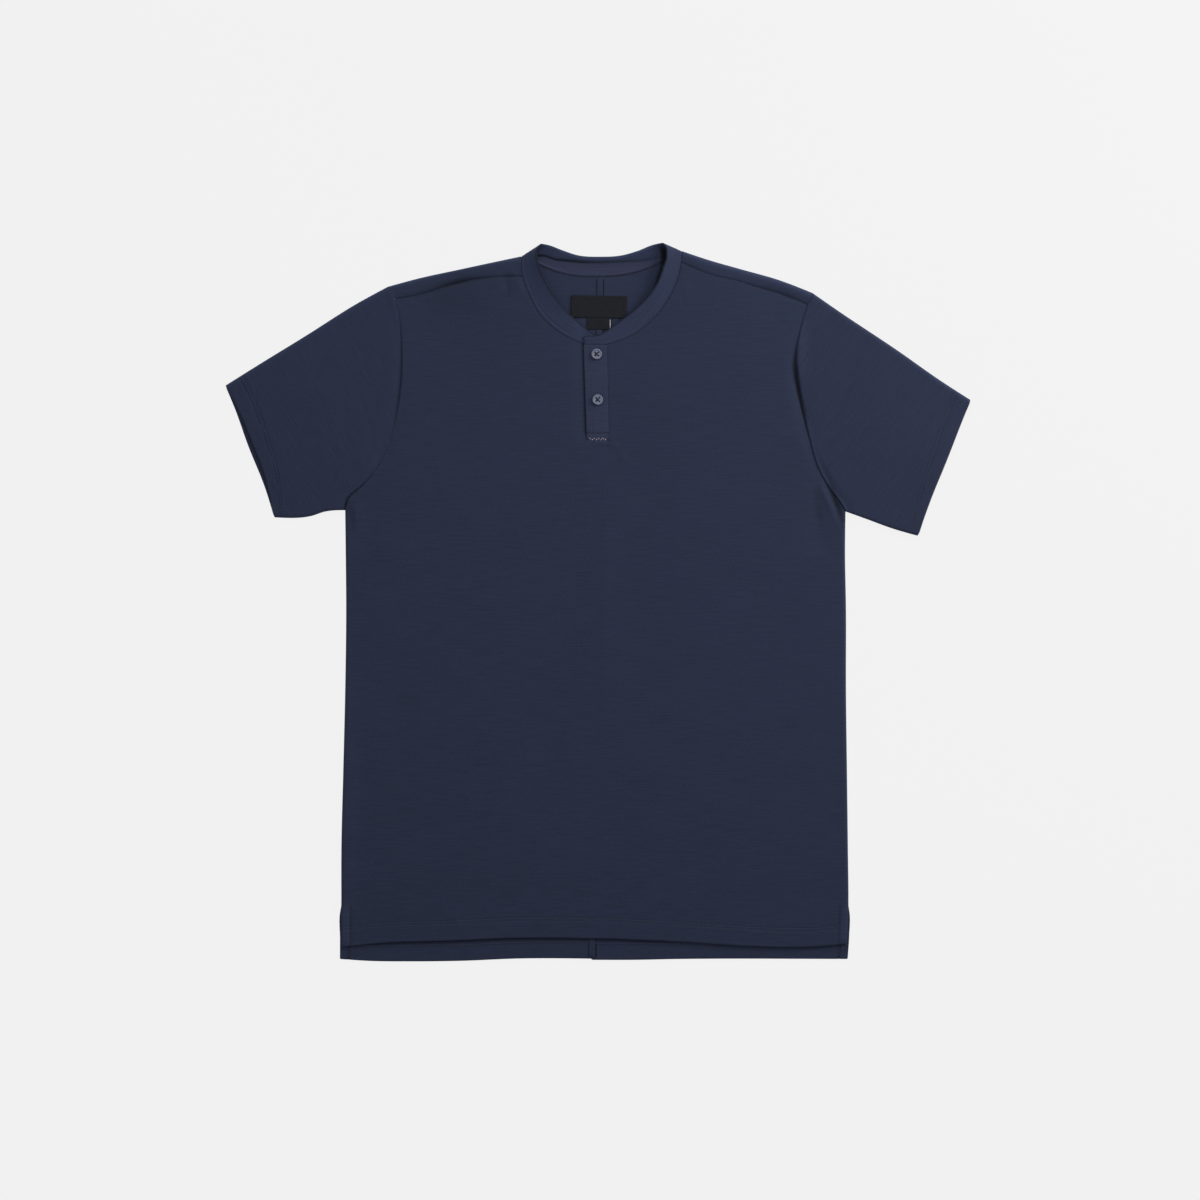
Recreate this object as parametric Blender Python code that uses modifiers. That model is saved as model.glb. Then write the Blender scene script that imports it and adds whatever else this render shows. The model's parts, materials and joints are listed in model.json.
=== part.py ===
"""A short-sleeved jersey shirt with a standing band collar and a two-button placket, laid flat
on its back. Every cut piece is a wall of cloth of its own, 0.3 mm from the next at its seam.

Units in the tables are millimetres. X runs across the shirt, to the wearer's left. Y runs from
the hem to the neck, and Z up from the surface that the back lies on. The wearer's right is at -X.
"""

import math

import bmesh
import bpy
import numpy as np

MM = 0.001
NAME = "band_collar_shirt"

# Cloth
WALL = 1.2              # jersey, with its loft
HEM_WALL = 2.2          # jersey turned up once
BAND_WALL = 1.6         # two plies of the collar and the placket
LABEL_WALL = 1.0
SEAM_GAP = 0.3
SIDE_GAP = 0.4         # the same at the side seams, whose edges lie at a slight angle
ROLL = 3.2              # plan width of a rounded edge
SEAM_LEVEL = 2.8        # height of the side seam, half-way up a rounded edge
CLOTH_TOP = 5.6         # height of the upper layer over the surface
FOLD_ANGLES = (0.0, 35.0, 64.0, 90.0)
SEAM_ANGLES = (0.0, 6.0, 35.0, 64.0, 90.0)

# Rows of faces in each stretch of a panel, from the hem up
FRONT_ROWS = (1, 1, 1, 1, 7, 1, 1, 1, 2, 1, 5, 7)
BACK_ROWS = (1, 1, 1, 1, 6, 1, 1, 1, 5, 4, 1, 1, 1)
SLEEVE_ROWS = (1, 6, 1, 1)
FRONT_COLUMNS = 9       # columns of faces between the rounded edge and the placket
BACK_COLUMNS = 8

# Hems
HEM = 20.0              # depth of the front, back and sleeve hems
VENT_HEM = 9.0
VENT_TOP = -315.0       # level at which the side seam ends
HEM_STEP = 2.0          # where a hem's turned edge ends

VENT_REACH = 9.0        # half the length over which the edge opens at a vent's top
VENT_CURL = 0.15        # share of the curl that the free edges keep

# Placket
SLOT_BASE = 165.5       # level of the placket's foot
SLOT_FOOT = (-11.4, 12.7)
FOOT_STRETCH = 9        # stretches of FRONT_ROWS below the foot
UNDER_DROP = 2.1        # how far the right front sinks under the upper band
DROP_REACH = 16.0
DROP_START = 12.0
LAP_LEVEL = 269.6       # level at which the placket meets the collar
UPPER_EDGE_FOOT = -11.0
UPPER_EDGE_HEAD = -14.4
UNDER_EDGE = 9.2
BAND_CROWN = 0.25

# Collar
COLLAR_GAP = 0.75       # from the neck's edge to the band, which bends up from it
BAND_SHARES = (0.0, 0.3, 0.65, 1.0)
BAND_FLARE = 1.6        # how late in its height the band bends up
LAP_ROWS = 4
SEAM_SAMPLES = 17
WELD = 0.02

RIGHT, LEFT = 0, 1      # the wearer's sides, and the column pairs of the tables below
OUTWARD = (-1.0, 1.0)

# From the hem up to the armpit: right x, right y, left x, left y
SIDE = (
    (-267.5, -359.0, 259.5, -356.5),
    (-267.0, -315.0, 260.5, -315.0),
    (-267.0, -258.0, 260.0, -258.0),
    (-265.0, -174.5, 259.0, -174.5),
    (-263.0, -91.5, 258.0, -91.5),
    (-262.0, -8.5, 258.0, -8.5),
    (-262.5, 54.0, 257.0, 54.0),
    (-263.0, 95.5, 257.5, 94.0),
)
# The back's free edge at the vents, from its hem up to the vents' tops
BACK_VENT = (
    (-269.0, -370.5, 259.5, -370.5),
    (-268.5, -351.5, 261.5, -346.5),
    (-267.0, -315.0, 260.5, -315.0),
)
# From the armpit up to the shoulder seam
ARMHOLE = (
    (-263.0, 95.5, 257.5, 94.0),
    (-260.0, 106.0, 253.0, 102.5),
    (-245.5, 121.5, 241.0, 118.0),
    (-228.0, 142.5, 229.0, 139.5),
    (-216.5, 168.5, 220.0, 171.5),
    (-209.0, 199.5, 212.0, 205.0),
    (-205.0, 231.0, 206.5, 238.0),
    (-204.5, 262.0, 206.5, 265.0),
    (-207.0, 296.0, 212.5, 293.5),
    (-211.0, 315.0, 217.5, 309.0),
)
# From the shoulder seam over to the fold along the shoulder's top
SHOULDER_END = (
    (-211.0, 315.0, 217.5, 309.0),
    (-216.0, 322.5, 221.5, 316.0),
    (-218.5, 328.0, 223.0, 321.5),
)
# From the armhole in to the neck
SHOULDER_SEAM = (
    (-211.0, 315.0, 217.5, 309.0),
    (-185.0, 320.0, 189.5, 320.5),
    (-159.0, 328.5, 163.5, 328.0),
    (-138.5, 334.0, 147.5, 333.0),
    (-113.0, 337.5, 118.0, 340.0),
    (-79.0, 338.5, 86.5, 353.0),
)
SHOULDER_FOLD = (
    (-218.5, 328.0, 223.0, 321.5),
    (-185.0, 337.0, 189.5, 334.5),
    (-143.5, 346.0, 147.5, 346.5),
    (-111.0, 353.0, 116.0, 355.5),
    (-80.0, 359.5, 87.5, 365.0),
)
# From the placket out to the shoulder seam
FRONT_NECK = (
    (-13.0, 270.5, 10.4, 269.8),
    (-24.0, 273.5, 28.0, 275.5),
    (-37.5, 280.0, 43.5, 284.0),
    (-50.0, 289.0, 58.0, 296.5),
    (-60.5, 299.5, 68.5, 309.0),
    (-68.5, 312.0, 78.0, 324.5),
    (-75.0, 326.5, 83.5, 339.0),
    (-79.0, 338.5, 86.5, 353.0),
)
# From the shoulder seam over to the fold beside the collar
NECK_END = (
    (-79.0, 338.5, 86.5, 353.0),
    (-80.2, 349.0, 87.4, 359.0),
    (-80.0, 359.5, 87.5, 365.0),
)
# From the centre of the back out to the fold beside the collar
BACK_NECK = (
    (2.3, 338.0, 2.3, 338.0),
    (-24.0, 339.0, 28.0, 340.0),
    (-39.5, 342.0, 49.0, 345.5),
    (-55.0, 347.5, 66.5, 353.5),
    (-68.0, 353.5, 77.5, 359.5),
    (-80.0, 359.5, 87.5, 365.0),
)
# From the side in to the centre
FRONT_HEM = (
    (-267.5, -359.0, 259.5, -356.5),
    (-230.0, -355.5, 225.0, -360.0),
    (-154.0, -352.3, 168.5, -360.0),
    (-81.0, -349.5, 85.5, -354.5),
    (-12.0, -350.7, 12.6, -351.2),
)
BACK_HEM = (
    (-269.0, -370.5, 259.5, -370.5),
    (-238.0, -372.5, 225.0, -370.4),
    (-195.0, -373.0, 127.0, -370.2),
    (-145.0, -372.5, 80.0, -370.6),
    (-81.0, -370.0, 39.5, -371.4),
    (-6.0, -370.2, -6.0, -371.4),
)
# The sleeves' outlines, from the shoulder out to the cuff, and along the cuff to the underarm
SLEEVE_FOLD = (
    (-218.5, 328.0, 223.0, 321.5),
    (-251.5, 310.0, 247.5, 304.5),
    (-301.5, 278.5, 314.0, 260.0),
    (-360.0, 242.5, 356.0, 230.5),
    (-387.0, 225.5, 387.0, 210.5),
)
UNDERARM = (
    (-263.0, 95.5, 257.5, 94.0),
    (-284.0, 94.0, 280.0, 86.0),
    (-298.0, 89.5, 306.0, 76.5),
    (-336.0, 88.0, 332.0, 69.0),
)
CUFF = (
    (-387.0, 225.5, 387.0, 210.5),
    (-372.5, 199.5, 376.5, 186.0),
    (-358.0, 165.5, 361.0, 147.5),
    (-343.0, 124.0, 347.0, 113.0),
    (-336.0, 88.0, 332.0, 69.0),
)
# How far the back of each cuff shows past its front
CUFF_PEEK = (5.5, 1.0)

# The collar's upper edge, with its height: x, y, z of the right half and of the left half
BAND_LAP = (
    (8.0, 274.6, 3.5, -13.8, 276.0, 5.8),
    (-3.0, 276.8, 3.5, 2.0, 277.2, 5.9),
    (-12.0, 283.5, 3.7, 16.0, 286.0, 6.2),
)
BAND_FRONT = (
    (-12.0, 283.5, 3.7, 16.0, 286.0, 6.2),
    (-22.0, 291.5, 5.2, 30.0, 296.5, 7.2),
    (-31.0, 299.5, 7.0, 41.5, 306.0, 8.4),
    (-41.0, 311.0, 8.6, 52.0, 316.5, 9.8),
    (-53.0, 328.0, 10.4, 61.5, 329.5, 11.2),
    (-61.0, 345.0, 11.6, 68.5, 347.0, 12.2),
)
BAND_SIDE = (
    (-61.0, 345.0, 11.6, 68.5, 347.0, 12.2),
    (-64.3, 357.0, 12.0, 72.0, 359.5, 12.6),
    (-63.2, 367.5, 11.0, 71.0, 368.5, 11.6),
    (-59.5, 372.0, 8.0, 67.5, 373.0, 8.4),
)
BAND_BACK = (
    (-59.5, 372.0, 8.0, 67.5, 373.0, 8.4),
    (-52.0, 370.8, 5.0, 58.5, 371.3, 5.2),
    (-38.0, 365.5, 3.6, 42.0, 364.8, 3.8),
    (-20.0, 359.8, 3.0, 24.0, 359.8, 3.2),
    (2.3, 358.5, 2.8, 2.3, 358.5, 2.8),
)

# Soft folds of the upper layer: from x, y to x, y, half width, height
FOLDS = (
    (5.0, 120.0, 6.0, -120.0, 20.0, 0.9),
    (-110.0, 190.0, -60.0, 60.0, 70.0, 0.7),
    (110.0, 200.0, 90.0, 40.0, 70.0, 0.9),
    (-130.0, -90.0, -110.0, -250.0, 80.0, 0.5),
    (140.0, -60.0, 120.0, -240.0, 80.0, 0.6),
    (232.0, 128.0, 230.0, 62.0, 12.0, -1.1),
    (-236.0, 96.0, -244.0, 40.0, 14.0, -0.8),
    (-300.0, 215.0, -340.0, 175.0, 45.0, 1.3),
    (300.0, 210.0, 330.0, 160.0, 45.0, 1.4),
)
# Depth of the valley along the armholes, from armpit to shoulder: share, right, left
ARMHOLE_VALLEY = (
    (0.00, 0.8, 1.0),
    (0.35, 0.7, 1.4),
    (0.62, 0.9, 2.3),
    (0.80, 0.7, 1.6),
    (1.00, 0.4, 0.5),
)
VALLEY_HALF_WIDTH = 7.0

# Buttons: x, y
BUTTONS = {"button_upper": (-1.5, 258.3), "button_lower": (-0.5, 211.0)}
BUTTON_DIAMETER = 10.8
BUTTON_HEIGHT = 2.4
BUTTON_RIM = 1.3
BUTTON_DISH = 0.6
HOLE_DIAMETER = 1.5
HOLE_SPACING = 2.6

# Labels on the inside of the back: x, y of the centre, width, height, turn in degrees
LABELS = {
    "neck_label": (1.0, 307.2, 58.0, 22.6, -1.2),
    "size_label": (1.2, 289.6, 25.5, 12.0, -1.2),
}

FINISHES = {
    "jersey": ((0.024, 0.030, 0.058), 0.85),
    "button": ((0.155, 0.165, 0.220), 0.35),
    "label": ((0.014, 0.015, 0.020), 0.75),
}


class Line:
    """A line through runs of points: smooth along a run, with a corner between two runs."""

    STEPS = 12

    def __init__(self, *runs):
        spans = [self.smooth(np.array(run, dtype=float)) for run in runs]
        self.points = np.concatenate([spans[0]] + [span[1:] for span in spans[1:]])
        steps = np.linalg.norm(np.diff(self.points, axis=0), axis=1)
        self.shares = np.concatenate([[0.0], np.cumsum(steps)])
        self.length = self.shares[-1]
        self.shares /= self.length
        ends = np.cumsum([len(span) - 1 for span in spans])
        self.corners = self.shares[ends[:-1]]

    @classmethod
    def smooth(cls, run):
        """A cubic through the run's points, its slopes weighed by the spans on each side."""
        if len(run) == 2:
            return np.linspace(run[0], run[1], cls.STEPS + 1)
        spans = np.linalg.norm(np.diff(run, axis=0), axis=1)[:, None]
        speeds = np.diff(run, axis=0) / spans
        inner = (speeds[:-1] * spans[1:] + speeds[1:] * spans[:-1]) / (spans[:-1] + spans[1:])
        first = 1.5 * speeds[:1] - 0.5 * inner[:1]
        last = 1.5 * speeds[-1:] - 0.5 * inner[-1:]
        slopes = np.concatenate([first, inner, last])
        s = (np.arange(cls.STEPS) / cls.STEPS)[:, None]
        line = []
        for start, end, span, a, b in zip(run, run[1:], spans, slopes, slopes[1:]):
            line.append(
                (2 * s**3 - 3 * s**2 + 1) * start
                + (s**3 - 2 * s**2 + s) * span * a
                + (3 * s**2 - 2 * s**3) * end
                + (s**3 - s**2) * span * b
            )
        return np.concatenate(line + [run[-1:]])

    def at(self, shares):
        """The points at these shares of the line's length."""
        columns = [np.interp(shares, self.shares, column) for column in self.points.T]
        return np.stack(columns, axis=-1)

    def distance(self, plan):
        """How far each plan point is from the line, and the share of the line nearest to it."""
        samples = np.linspace(0.0, 1.0, 101)
        gaps = np.linalg.norm(plan[..., None, :] - self.at(samples), axis=-1)
        return gaps.min(axis=-1), samples[gaps.argmin(axis=-1)]


def run(table, side, backwards=False):
    """One side's points of a table, as a list of equal-width rows."""
    width = len(table[0]) // 2
    rows = [row[side * width:(side + 1) * width] for row in table]
    return rows[::-1] if backwards else rows


def smoothstep(value):
    value = np.clip(value, 0.0, 1.0)
    return value * value * (3.0 - 2.0 * value)


ARMHOLES = [Line(run(ARMHOLE, side)) for side in (RIGHT, LEFT)]


def slot_edge(level, side):
    """X of the placket slot's edge at a level, the same line below it down to the hem."""
    foot, head = SLOT_FOOT[side], FRONT_NECK[0][2 * side]
    return np.interp(level, (SLOT_BASE, FRONT_NECK[0][2 * side + 1]), (foot, head))


def under_band(x, y):
    """How far the right front sinks where the upper band of the placket lies over it."""
    away = slot_edge(y, RIGHT) - x
    near = 1.0 - smoothstep(away / DROP_REACH)
    started = smoothstep((y - SLOT_BASE) / DROP_START)
    return UNDER_DROP * near * started * (away > -SEAM_GAP)


def cloth_top(plan):
    """Height of the upper layer's outer face at plan points, from the folds and the valleys."""
    x, y = plan[..., 0], plan[..., 1]
    height = np.full(x.shape, CLOTH_TOP)
    for x0, y0, x1, y1, half_width, rise in FOLDS:
        away, share = Line(((x0, y0), (x1, y1))).distance(plan)
        height += rise * np.exp(-(away / half_width) ** 2)
    for side, armhole in enumerate(ARMHOLES):
        away, share = armhole.distance(plan)
        depths = [row[1 + side] for row in ARMHOLE_VALLEY]
        depth = np.interp(share, [row[0] for row in ARMHOLE_VALLEY], depths)
        height -= depth * np.exp(-(away / VALLEY_HALF_WIDTH) ** 2)
    return height - under_band(x, y)


def patch(bottom, top, outer, inner, across, along):
    """Plan points of a four-sided panel that meets its four edge lines exactly."""
    v = along[:, None, None]
    u = across[..., None]
    ends = outer.at(along)[:, None], inner.at(along)[:, None]
    corners = [line.at(np.array([share])) for line in (outer, inner) for share in (0.0, 1.0)]
    straight = (1 - u) * ((1 - v) * corners[0] + v * corners[1])
    straight = straight + u * ((1 - v) * corners[2] + v * corners[3])
    between_ends = (1 - u) * ends[0] + u * ends[1]
    between_rows = (1 - v) * bottom.at(across) + v * top.at(across)
    return between_ends + between_rows - straight


def roll_steps(angles=FOLD_ANGLES, gap=0.0):
    """Distances from a rounded edge at which its points lie, from the seam to the flat."""
    start = math.asin(0.5 * gap / SEAM_LEVEL)
    return [ROLL * (1 - math.cos(max(start, math.radians(angle)))) for angle in angles]


def rounded(distance):
    """Share of its height that a rounded edge has reached at a distance from it."""
    return np.sqrt(1.0 - (1.0 - np.clip(distance / ROLL, 0.0, 1.0)) ** 2)


def spaced(stops, counts):
    """The stops with even steps between them, as many as counts says for each gap."""
    if len(counts) != len(stops) - 1 or sorted(stops) != list(stops):
        raise ValueError("a panel's rows are out of order")
    line = [stops[0]]
    for start, end, count in zip(stops, stops[1:], counts):
        line.extend(np.linspace(start, end, count + 1)[1:])
    return np.array(line)


def shares_across(lengths, near, columns):
    """Each row's shares: the rounded edge's steps, then even columns to the inner edge."""
    rows = []
    for length in lengths:
        flat = np.linspace(near[-1] / length, 1.0, columns + 1)[1:]
        rows.append(np.concatenate([[step / length for step in near], flat]))
    return np.array(rows)


def front_rows(side):
    """The front's outer and inner edge lines, and the shares of them at which its rows lie."""
    outer = Line(run(SIDE, side), run(ARMHOLE, side))
    foot = (SLOT_FOOT[side], SLOT_BASE)
    centre = run(FRONT_HEM, side)[-1]
    inner = Line((centre, foot), (foot, run(FRONT_NECK, side)[0]), run(FRONT_NECK, side))
    armpit, = outer.corners
    slot, neck = inner.corners
    hem = [depth / inner.length for depth in (0.0, HEM - HEM_STEP, HEM)]
    vent = (VENT_TOP - run(SIDE, side)[0][1]) / outer.length
    vents = [vent + reach / outer.length for reach in (-VENT_REACH, VENT_REACH)]
    curl = [armpit + step / outer.length for step in roll_steps()]
    stops = hem + vents + curl + [slot, slot + DROP_START / inner.length, neck, 1.0]
    return outer, inner, spaced(stops, FRONT_ROWS)


def back_rows(side):
    """The same for the back's half, from its hem up to the fold along the shoulder."""
    outer = Line(run(BACK_VENT, side), run(SIDE[1:], side), run(ARMHOLE, side),
                 run(SHOULDER_END, side))
    half_gap = 0.5 * SEAM_GAP * OUTWARD[side]
    centre = [(x + half_gap, y) for x, y in (run(BACK_HEM, side)[-1], run(BACK_NECK, side)[0])]
    inner = Line(centre, centre[1:] + run(BACK_NECK, side)[1:])
    vent, armpit, _ = outer.corners
    neck, = inner.corners
    hem = [depth / inner.length for depth in (0.0, HEM - HEM_STEP, HEM)]
    vents = [vent + reach / outer.length for reach in (-VENT_REACH, VENT_REACH)]
    curl = [armpit + step / outer.length for step in roll_steps()]
    fold = [1.0 - step / inner.length for step in roll_steps()[::-1]]
    return outer, inner, spaced(hem + vents + curl + [neck] + fold, BACK_ROWS)


def wrap_rows(side):
    """The same for the strip of the back that comes over the shoulder, from fold to seam."""
    outer = Line(run(SHOULDER_END, side, True))
    inner = Line(run(NECK_END, side, True))
    return outer, inner, np.array([step / inner.length for step in roll_steps()] + [0.6, 1.0])


def curl_of_rows(levels, arc_past_armpit):
    """How far each row's side edge curls: whole at the seam, less at the vent and armhole."""
    at_vent = smoothstep((levels - VENT_TOP + VENT_REACH) / (2 * VENT_REACH))
    at_armhole = rounded(np.maximum(arc_past_armpit, 0.0))
    return (VENT_CURL + (1 - VENT_CURL) * at_vent) * (1.0 - at_armhole)


def wall_shares(from_hem, curled, in_vent):
    """Share of the hem's wall at each point of a panel: whole where the cloth is turned up.

    It stays plain where the edge is curled, and is whole in the hems along the vents.
    """
    plain = WALL / HEM_WALL
    turned = 1.0 - smoothstep((from_hem - HEM + HEM_STEP) / HEM_STEP)
    shares = np.where(curled, plain, plain + (1.0 - plain) * turned)
    return np.where(in_vent, 1.0, shares)


def vent_hem(plan, from_side):
    """Where a panel's free edge beside a vent is turned under."""
    return (plan[..., 1] < VENT_TOP - VENT_REACH) & (from_side < VENT_HEM)


def grid_faces(rows, columns, closed=False):
    """Corner numbers of the faces of a grid of points, row by row."""
    width = columns if closed else columns - 1
    return [
        (r * columns + c, r * columns + (c + 1) % columns,
         (r + 1) * columns + (c + 1) % columns, (r + 1) * columns + c)
        for r in range(rows - 1) for c in range(width)
    ]


def material(name):
    """The finish of this name, made the first time that it is asked for."""
    made = bpy.data.materials.get(name)
    if made is None:
        colour, roughness = FINISHES[name]
        made = bpy.data.materials.new(name)
        made.use_nodes = True
        shader = made.node_tree.nodes["Principled BSDF"]
        shader.inputs["Base Color"].default_value = (*colour, 1.0)
        shader.inputs["Roughness"].default_value = roughness
    return made


def cloth_object(name, grids, wall, collection, shares=None, closed=False, finish="jersey"):
    """A wall from grids of outer points, welded where they meet, thickened inwards.

    shares holds each point's share of the wall, and closed joins a grid's rows into rings.
    """
    points, faces, weights = [], [], []
    for number, grid in enumerate(grids):
        rows, columns, _ = grid.shape
        first = len(points)
        points.extend(grid.reshape(-1, 3) * MM)
        faces.extend([tuple(first + corner for corner in face)
                      for face in grid_faces(rows, columns, closed)])
        weights.extend(np.ravel(shares[number]) if shares else np.ones(rows * columns))
    mesh = bpy.data.meshes.new(name)
    mesh.from_pydata([tuple(point) for point in points], [], faces)
    made = bpy.data.objects.new(name, mesh)
    collection.objects.link(made)
    group = made.vertex_groups.new(name="wall")
    for index, weight in enumerate(weights):
        group.add([index], float(weight), "REPLACE")
    work = bmesh.new()
    work.from_mesh(mesh)
    bmesh.ops.remove_doubles(work, verts=work.verts, dist=WELD * MM)
    work.to_mesh(mesh)
    work.free()
    mesh.materials.append(material(finish))
    mesh.shade_smooth()
    solidify = made.modifiers.new("wall", "SOLIDIFY")
    solidify.thickness = wall * MM
    solidify.offset = -1.0
    solidify.vertex_group = "wall"
    return made


def front_half(side):
    """Outer points and wall shares of the front, from one side in to the placket's line."""
    outer, inner, along = front_rows(side)
    ends = outer.at(along), inner.at(along)
    lengths = np.linalg.norm(ends[1] - ends[0], axis=1)
    across = shares_across(lengths, roll_steps(SEAM_ANGLES, SIDE_GAP), FRONT_COLUMNS)
    hem, shoulder = Line(run(FRONT_HEM, side)), Line(run(SHOULDER_SEAM, side))
    plan = patch(hem, shoulder, outer, inner, across, along)
    from_side = across * lengths[:, None]
    from_hem = np.broadcast_to((along * inner.length)[:, None], across.shape)
    curl = curl_of_rows(ends[0][:, 1], (along - outer.corners[0]) * outer.length)[:, None]
    top = cloth_top(plan)
    top = top - curl * (top - SEAM_LEVEL) * (1.0 - rounded(from_side))
    return np.dstack([plan, top]), wall_shares(from_hem, False, vent_hem(plan, from_side))


def front(collection):
    """The front: two halves, and the strip between them from the hem to the placket's foot."""
    right, right_wall = front_half(RIGHT)
    left, left_wall = front_half(LEFT)
    below = sum(FRONT_ROWS[:FOOT_STRETCH]) + 1
    share = np.linspace(0.0, 1.0, 3)[None, :, None]
    strip = (1 - share) * right[:below, -1:] + share * left[:below, -1:]
    strip[:, 1, 2] = cloth_top(strip[:, 1, :2])
    strip_wall = np.repeat(right_wall[:below, -1:], 3, axis=1)
    return cloth_object("front", [right, strip, left[:, ::-1]], HEM_WALL, collection,
                        shares=[right_wall, strip_wall, left_wall[:, ::-1]])


def back_half(side, collection):
    """One half of the back, flat below, over the shoulder's fold to the seam on the front."""
    hem, fold = Line(run(BACK_HEM, side)), Line(run(SHOULDER_FOLD, side))
    outer, inner, along = back_rows(side)
    ends = outer.at(along), inner.at(along)
    lengths = np.linalg.norm(ends[1] - ends[0], axis=1)
    across = shares_across(lengths, roll_steps(SEAM_ANGLES, SIDE_GAP), BACK_COLUMNS)
    plan = patch(hem, fold, outer, inner, across, along)
    from_side = across * lengths[:, None]
    from_hem = np.broadcast_to((along * inner.length)[:, None], across.shape)
    from_fold = ((1.0 - along) * inner.length)[:, None]
    curl = curl_of_rows(ends[0][:, 1], (along - outer.corners[1]) * outer.length)[:, None]
    level = SEAM_LEVEL * (curl * (1.0 - rounded(from_side)) + 1.0 - rounded(from_fold))
    under = np.dstack([plan, level])
    shares = wall_shares(from_hem, False, vent_hem(plan, from_side))

    outer, inner, along = wrap_rows(side)
    seam = Line(beside(Line(run(SHOULDER_SEAM, side)).at(np.linspace(0, 1, SEAM_SAMPLES)),
                       SEAM_GAP * OUTWARD[side]))
    plan = patch(fold, seam, outer, inner, np.repeat(across[-1:], len(along), axis=0), along)
    from_fold = (along * inner.length)[:, None]
    top = SEAM_LEVEL + (cloth_top(plan) - SEAM_LEVEL) * rounded(from_fold)
    over = np.dstack([plan, top])
    grids, walls = [under, over], [shares, np.full(top.shape, WALL / HEM_WALL)]
    if side == RIGHT:
        grids = [grid[:, ::-1] for grid in grids]
        walls = [wall[:, ::-1] for wall in walls]
    return cloth_object(("back_right", "back_left")[side], grids, HEM_WALL, collection,
                        shares=walls)


def beside(points, gap):
    """A line's points moved sideways, to the right of the way that it runs."""
    ahead = np.gradient(points, axis=0)
    ahead /= np.linalg.norm(ahead, axis=1)[:, None]
    return points + gap * np.column_stack([ahead[:, 1], -ahead[:, 0]])


def armhole_arcs(side):
    """Distances from the shoulder's fold at which the body's rows meet the armhole.

    The first list is for the upper layer and the second for the lower one.
    """
    outer, _, along = front_rows(side)
    front_arcs = (1.0 - along[along >= outer.corners[0] - 1e-9]) * outer.length
    outer, _, along = wrap_rows(side)
    wrap_arcs = along * outer.length
    upper = np.concatenate([wrap_arcs, front_arcs[::-1][1:] + outer.length])
    outer, _, along = back_rows(side)
    lower = (1.0 - along[along >= outer.corners[1] - 1e-9]) * outer.length
    return upper, lower[::-1]


def sleeve_layer(side, cuff, arcs, along):
    """Plan points of one layer of a sleeve, and how far each is from the nearer fold."""
    head = Line(run(SHOULDER_END, side, True), run(ARMHOLE, side, True))
    armhole = Line(beside(head.at(arcs / head.length), -SEAM_GAP * OUTWARD[side]))
    armhole.points = beside(head.points, -SEAM_GAP * OUTWARD[side])
    armhole.shares = head.shares
    fold = Line([armhole.points[0]] + run(SLEEVE_FOLD, side)[1:])
    under = Line([armhole.points[-1]] + run(UNDERARM, side)[1:])
    lengths = np.linalg.norm(under.at(along) - fold.at(along), axis=1)[:, None]
    lengths[0] = head.length
    flat = (arcs - ROLL) * (lengths - 2 * ROLL) / (head.length - 2 * ROLL) + ROLL
    placed = np.where(arcs < ROLL, arcs, flat)
    placed = np.where(arcs > head.length - ROLL, lengths - head.length + arcs, placed)
    plan = patch(armhole, cuff, fold, under, placed / lengths, along)
    return plan, np.minimum(placed, lengths - placed), fold.length


def sleeve(side, collection):
    """A sleeve: flat rings from the armhole out to the cuff, with a fold above and below."""
    cuff = Line(run(CUFF, side))
    shares = np.linspace(0, 1, SEAM_SAMPLES)
    peek = np.sin(math.pi * shares)[:, None] * CUFF_PEEK[side] * np.array([OUTWARD[side], -0.3])
    back_cuff = Line(cuff.at(shares) + peek)
    length = Line(run(SLEEVE_FOLD, side)).length
    stops = [0.0, 0.06, 1 - HEM / length, 1 - (HEM - HEM_STEP) / length, 1.0]
    along = spaced(stops, SLEEVE_ROWS)
    upper_arcs, lower_arcs = armhole_arcs(side)
    upper, from_fold, _ = sleeve_layer(side, cuff, upper_arcs, along)
    top = SEAM_LEVEL + (cloth_top(upper) - SEAM_LEVEL) * rounded(from_fold)
    lower, below_fold, _ = sleeve_layer(side, back_cuff, lower_arcs, along)
    base = SEAM_LEVEL * (1.0 - rounded(below_fold))
    ring = np.concatenate([np.dstack([upper, top]), np.dstack([lower, base])[:, -2:0:-1]], axis=1)
    from_cuff = np.broadcast_to(((1.0 - along) * length)[:, None], ring.shape[:2])
    curled = np.concatenate([from_fold, below_fold[:, -2:0:-1]], axis=1) < 0.9 * ROLL
    shares = wall_shares(from_cuff, curled, False)
    if side == RIGHT:
        ring, shares = ring[:, ::-1], shares[:, ::-1]
    return cloth_object(("sleeve_right", "sleeve_left")[side], [ring], HEM_WALL, collection,
                        shares=[shares], closed=True)


def neck_seam(side):
    """The collar seam's points on one side, from the front's centre round to the back's."""
    _, inner, along = front_rows(side)
    front_neck = inner.at(along[along >= inner.corners[1] - 1e-9])
    front_points = np.column_stack([front_neck, cloth_top(front_neck)])
    _, inner, along = wrap_rows(side)
    over = inner.at(along)[::-1]
    height = SEAM_LEVEL + (cloth_top(over) - SEAM_LEVEL) * rounded(along * inner.length)[::-1]
    over_points = np.column_stack([over, height])
    _, inner, along = back_rows(side)
    along = along[along >= inner.corners[0] - 1e-9][::-1]
    height = SEAM_LEVEL * (1.0 - rounded((1.0 - along) * inner.length))
    under_points = np.column_stack([inner.at(along), height])
    return front_points, over_points[1:], under_points[1:]


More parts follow.
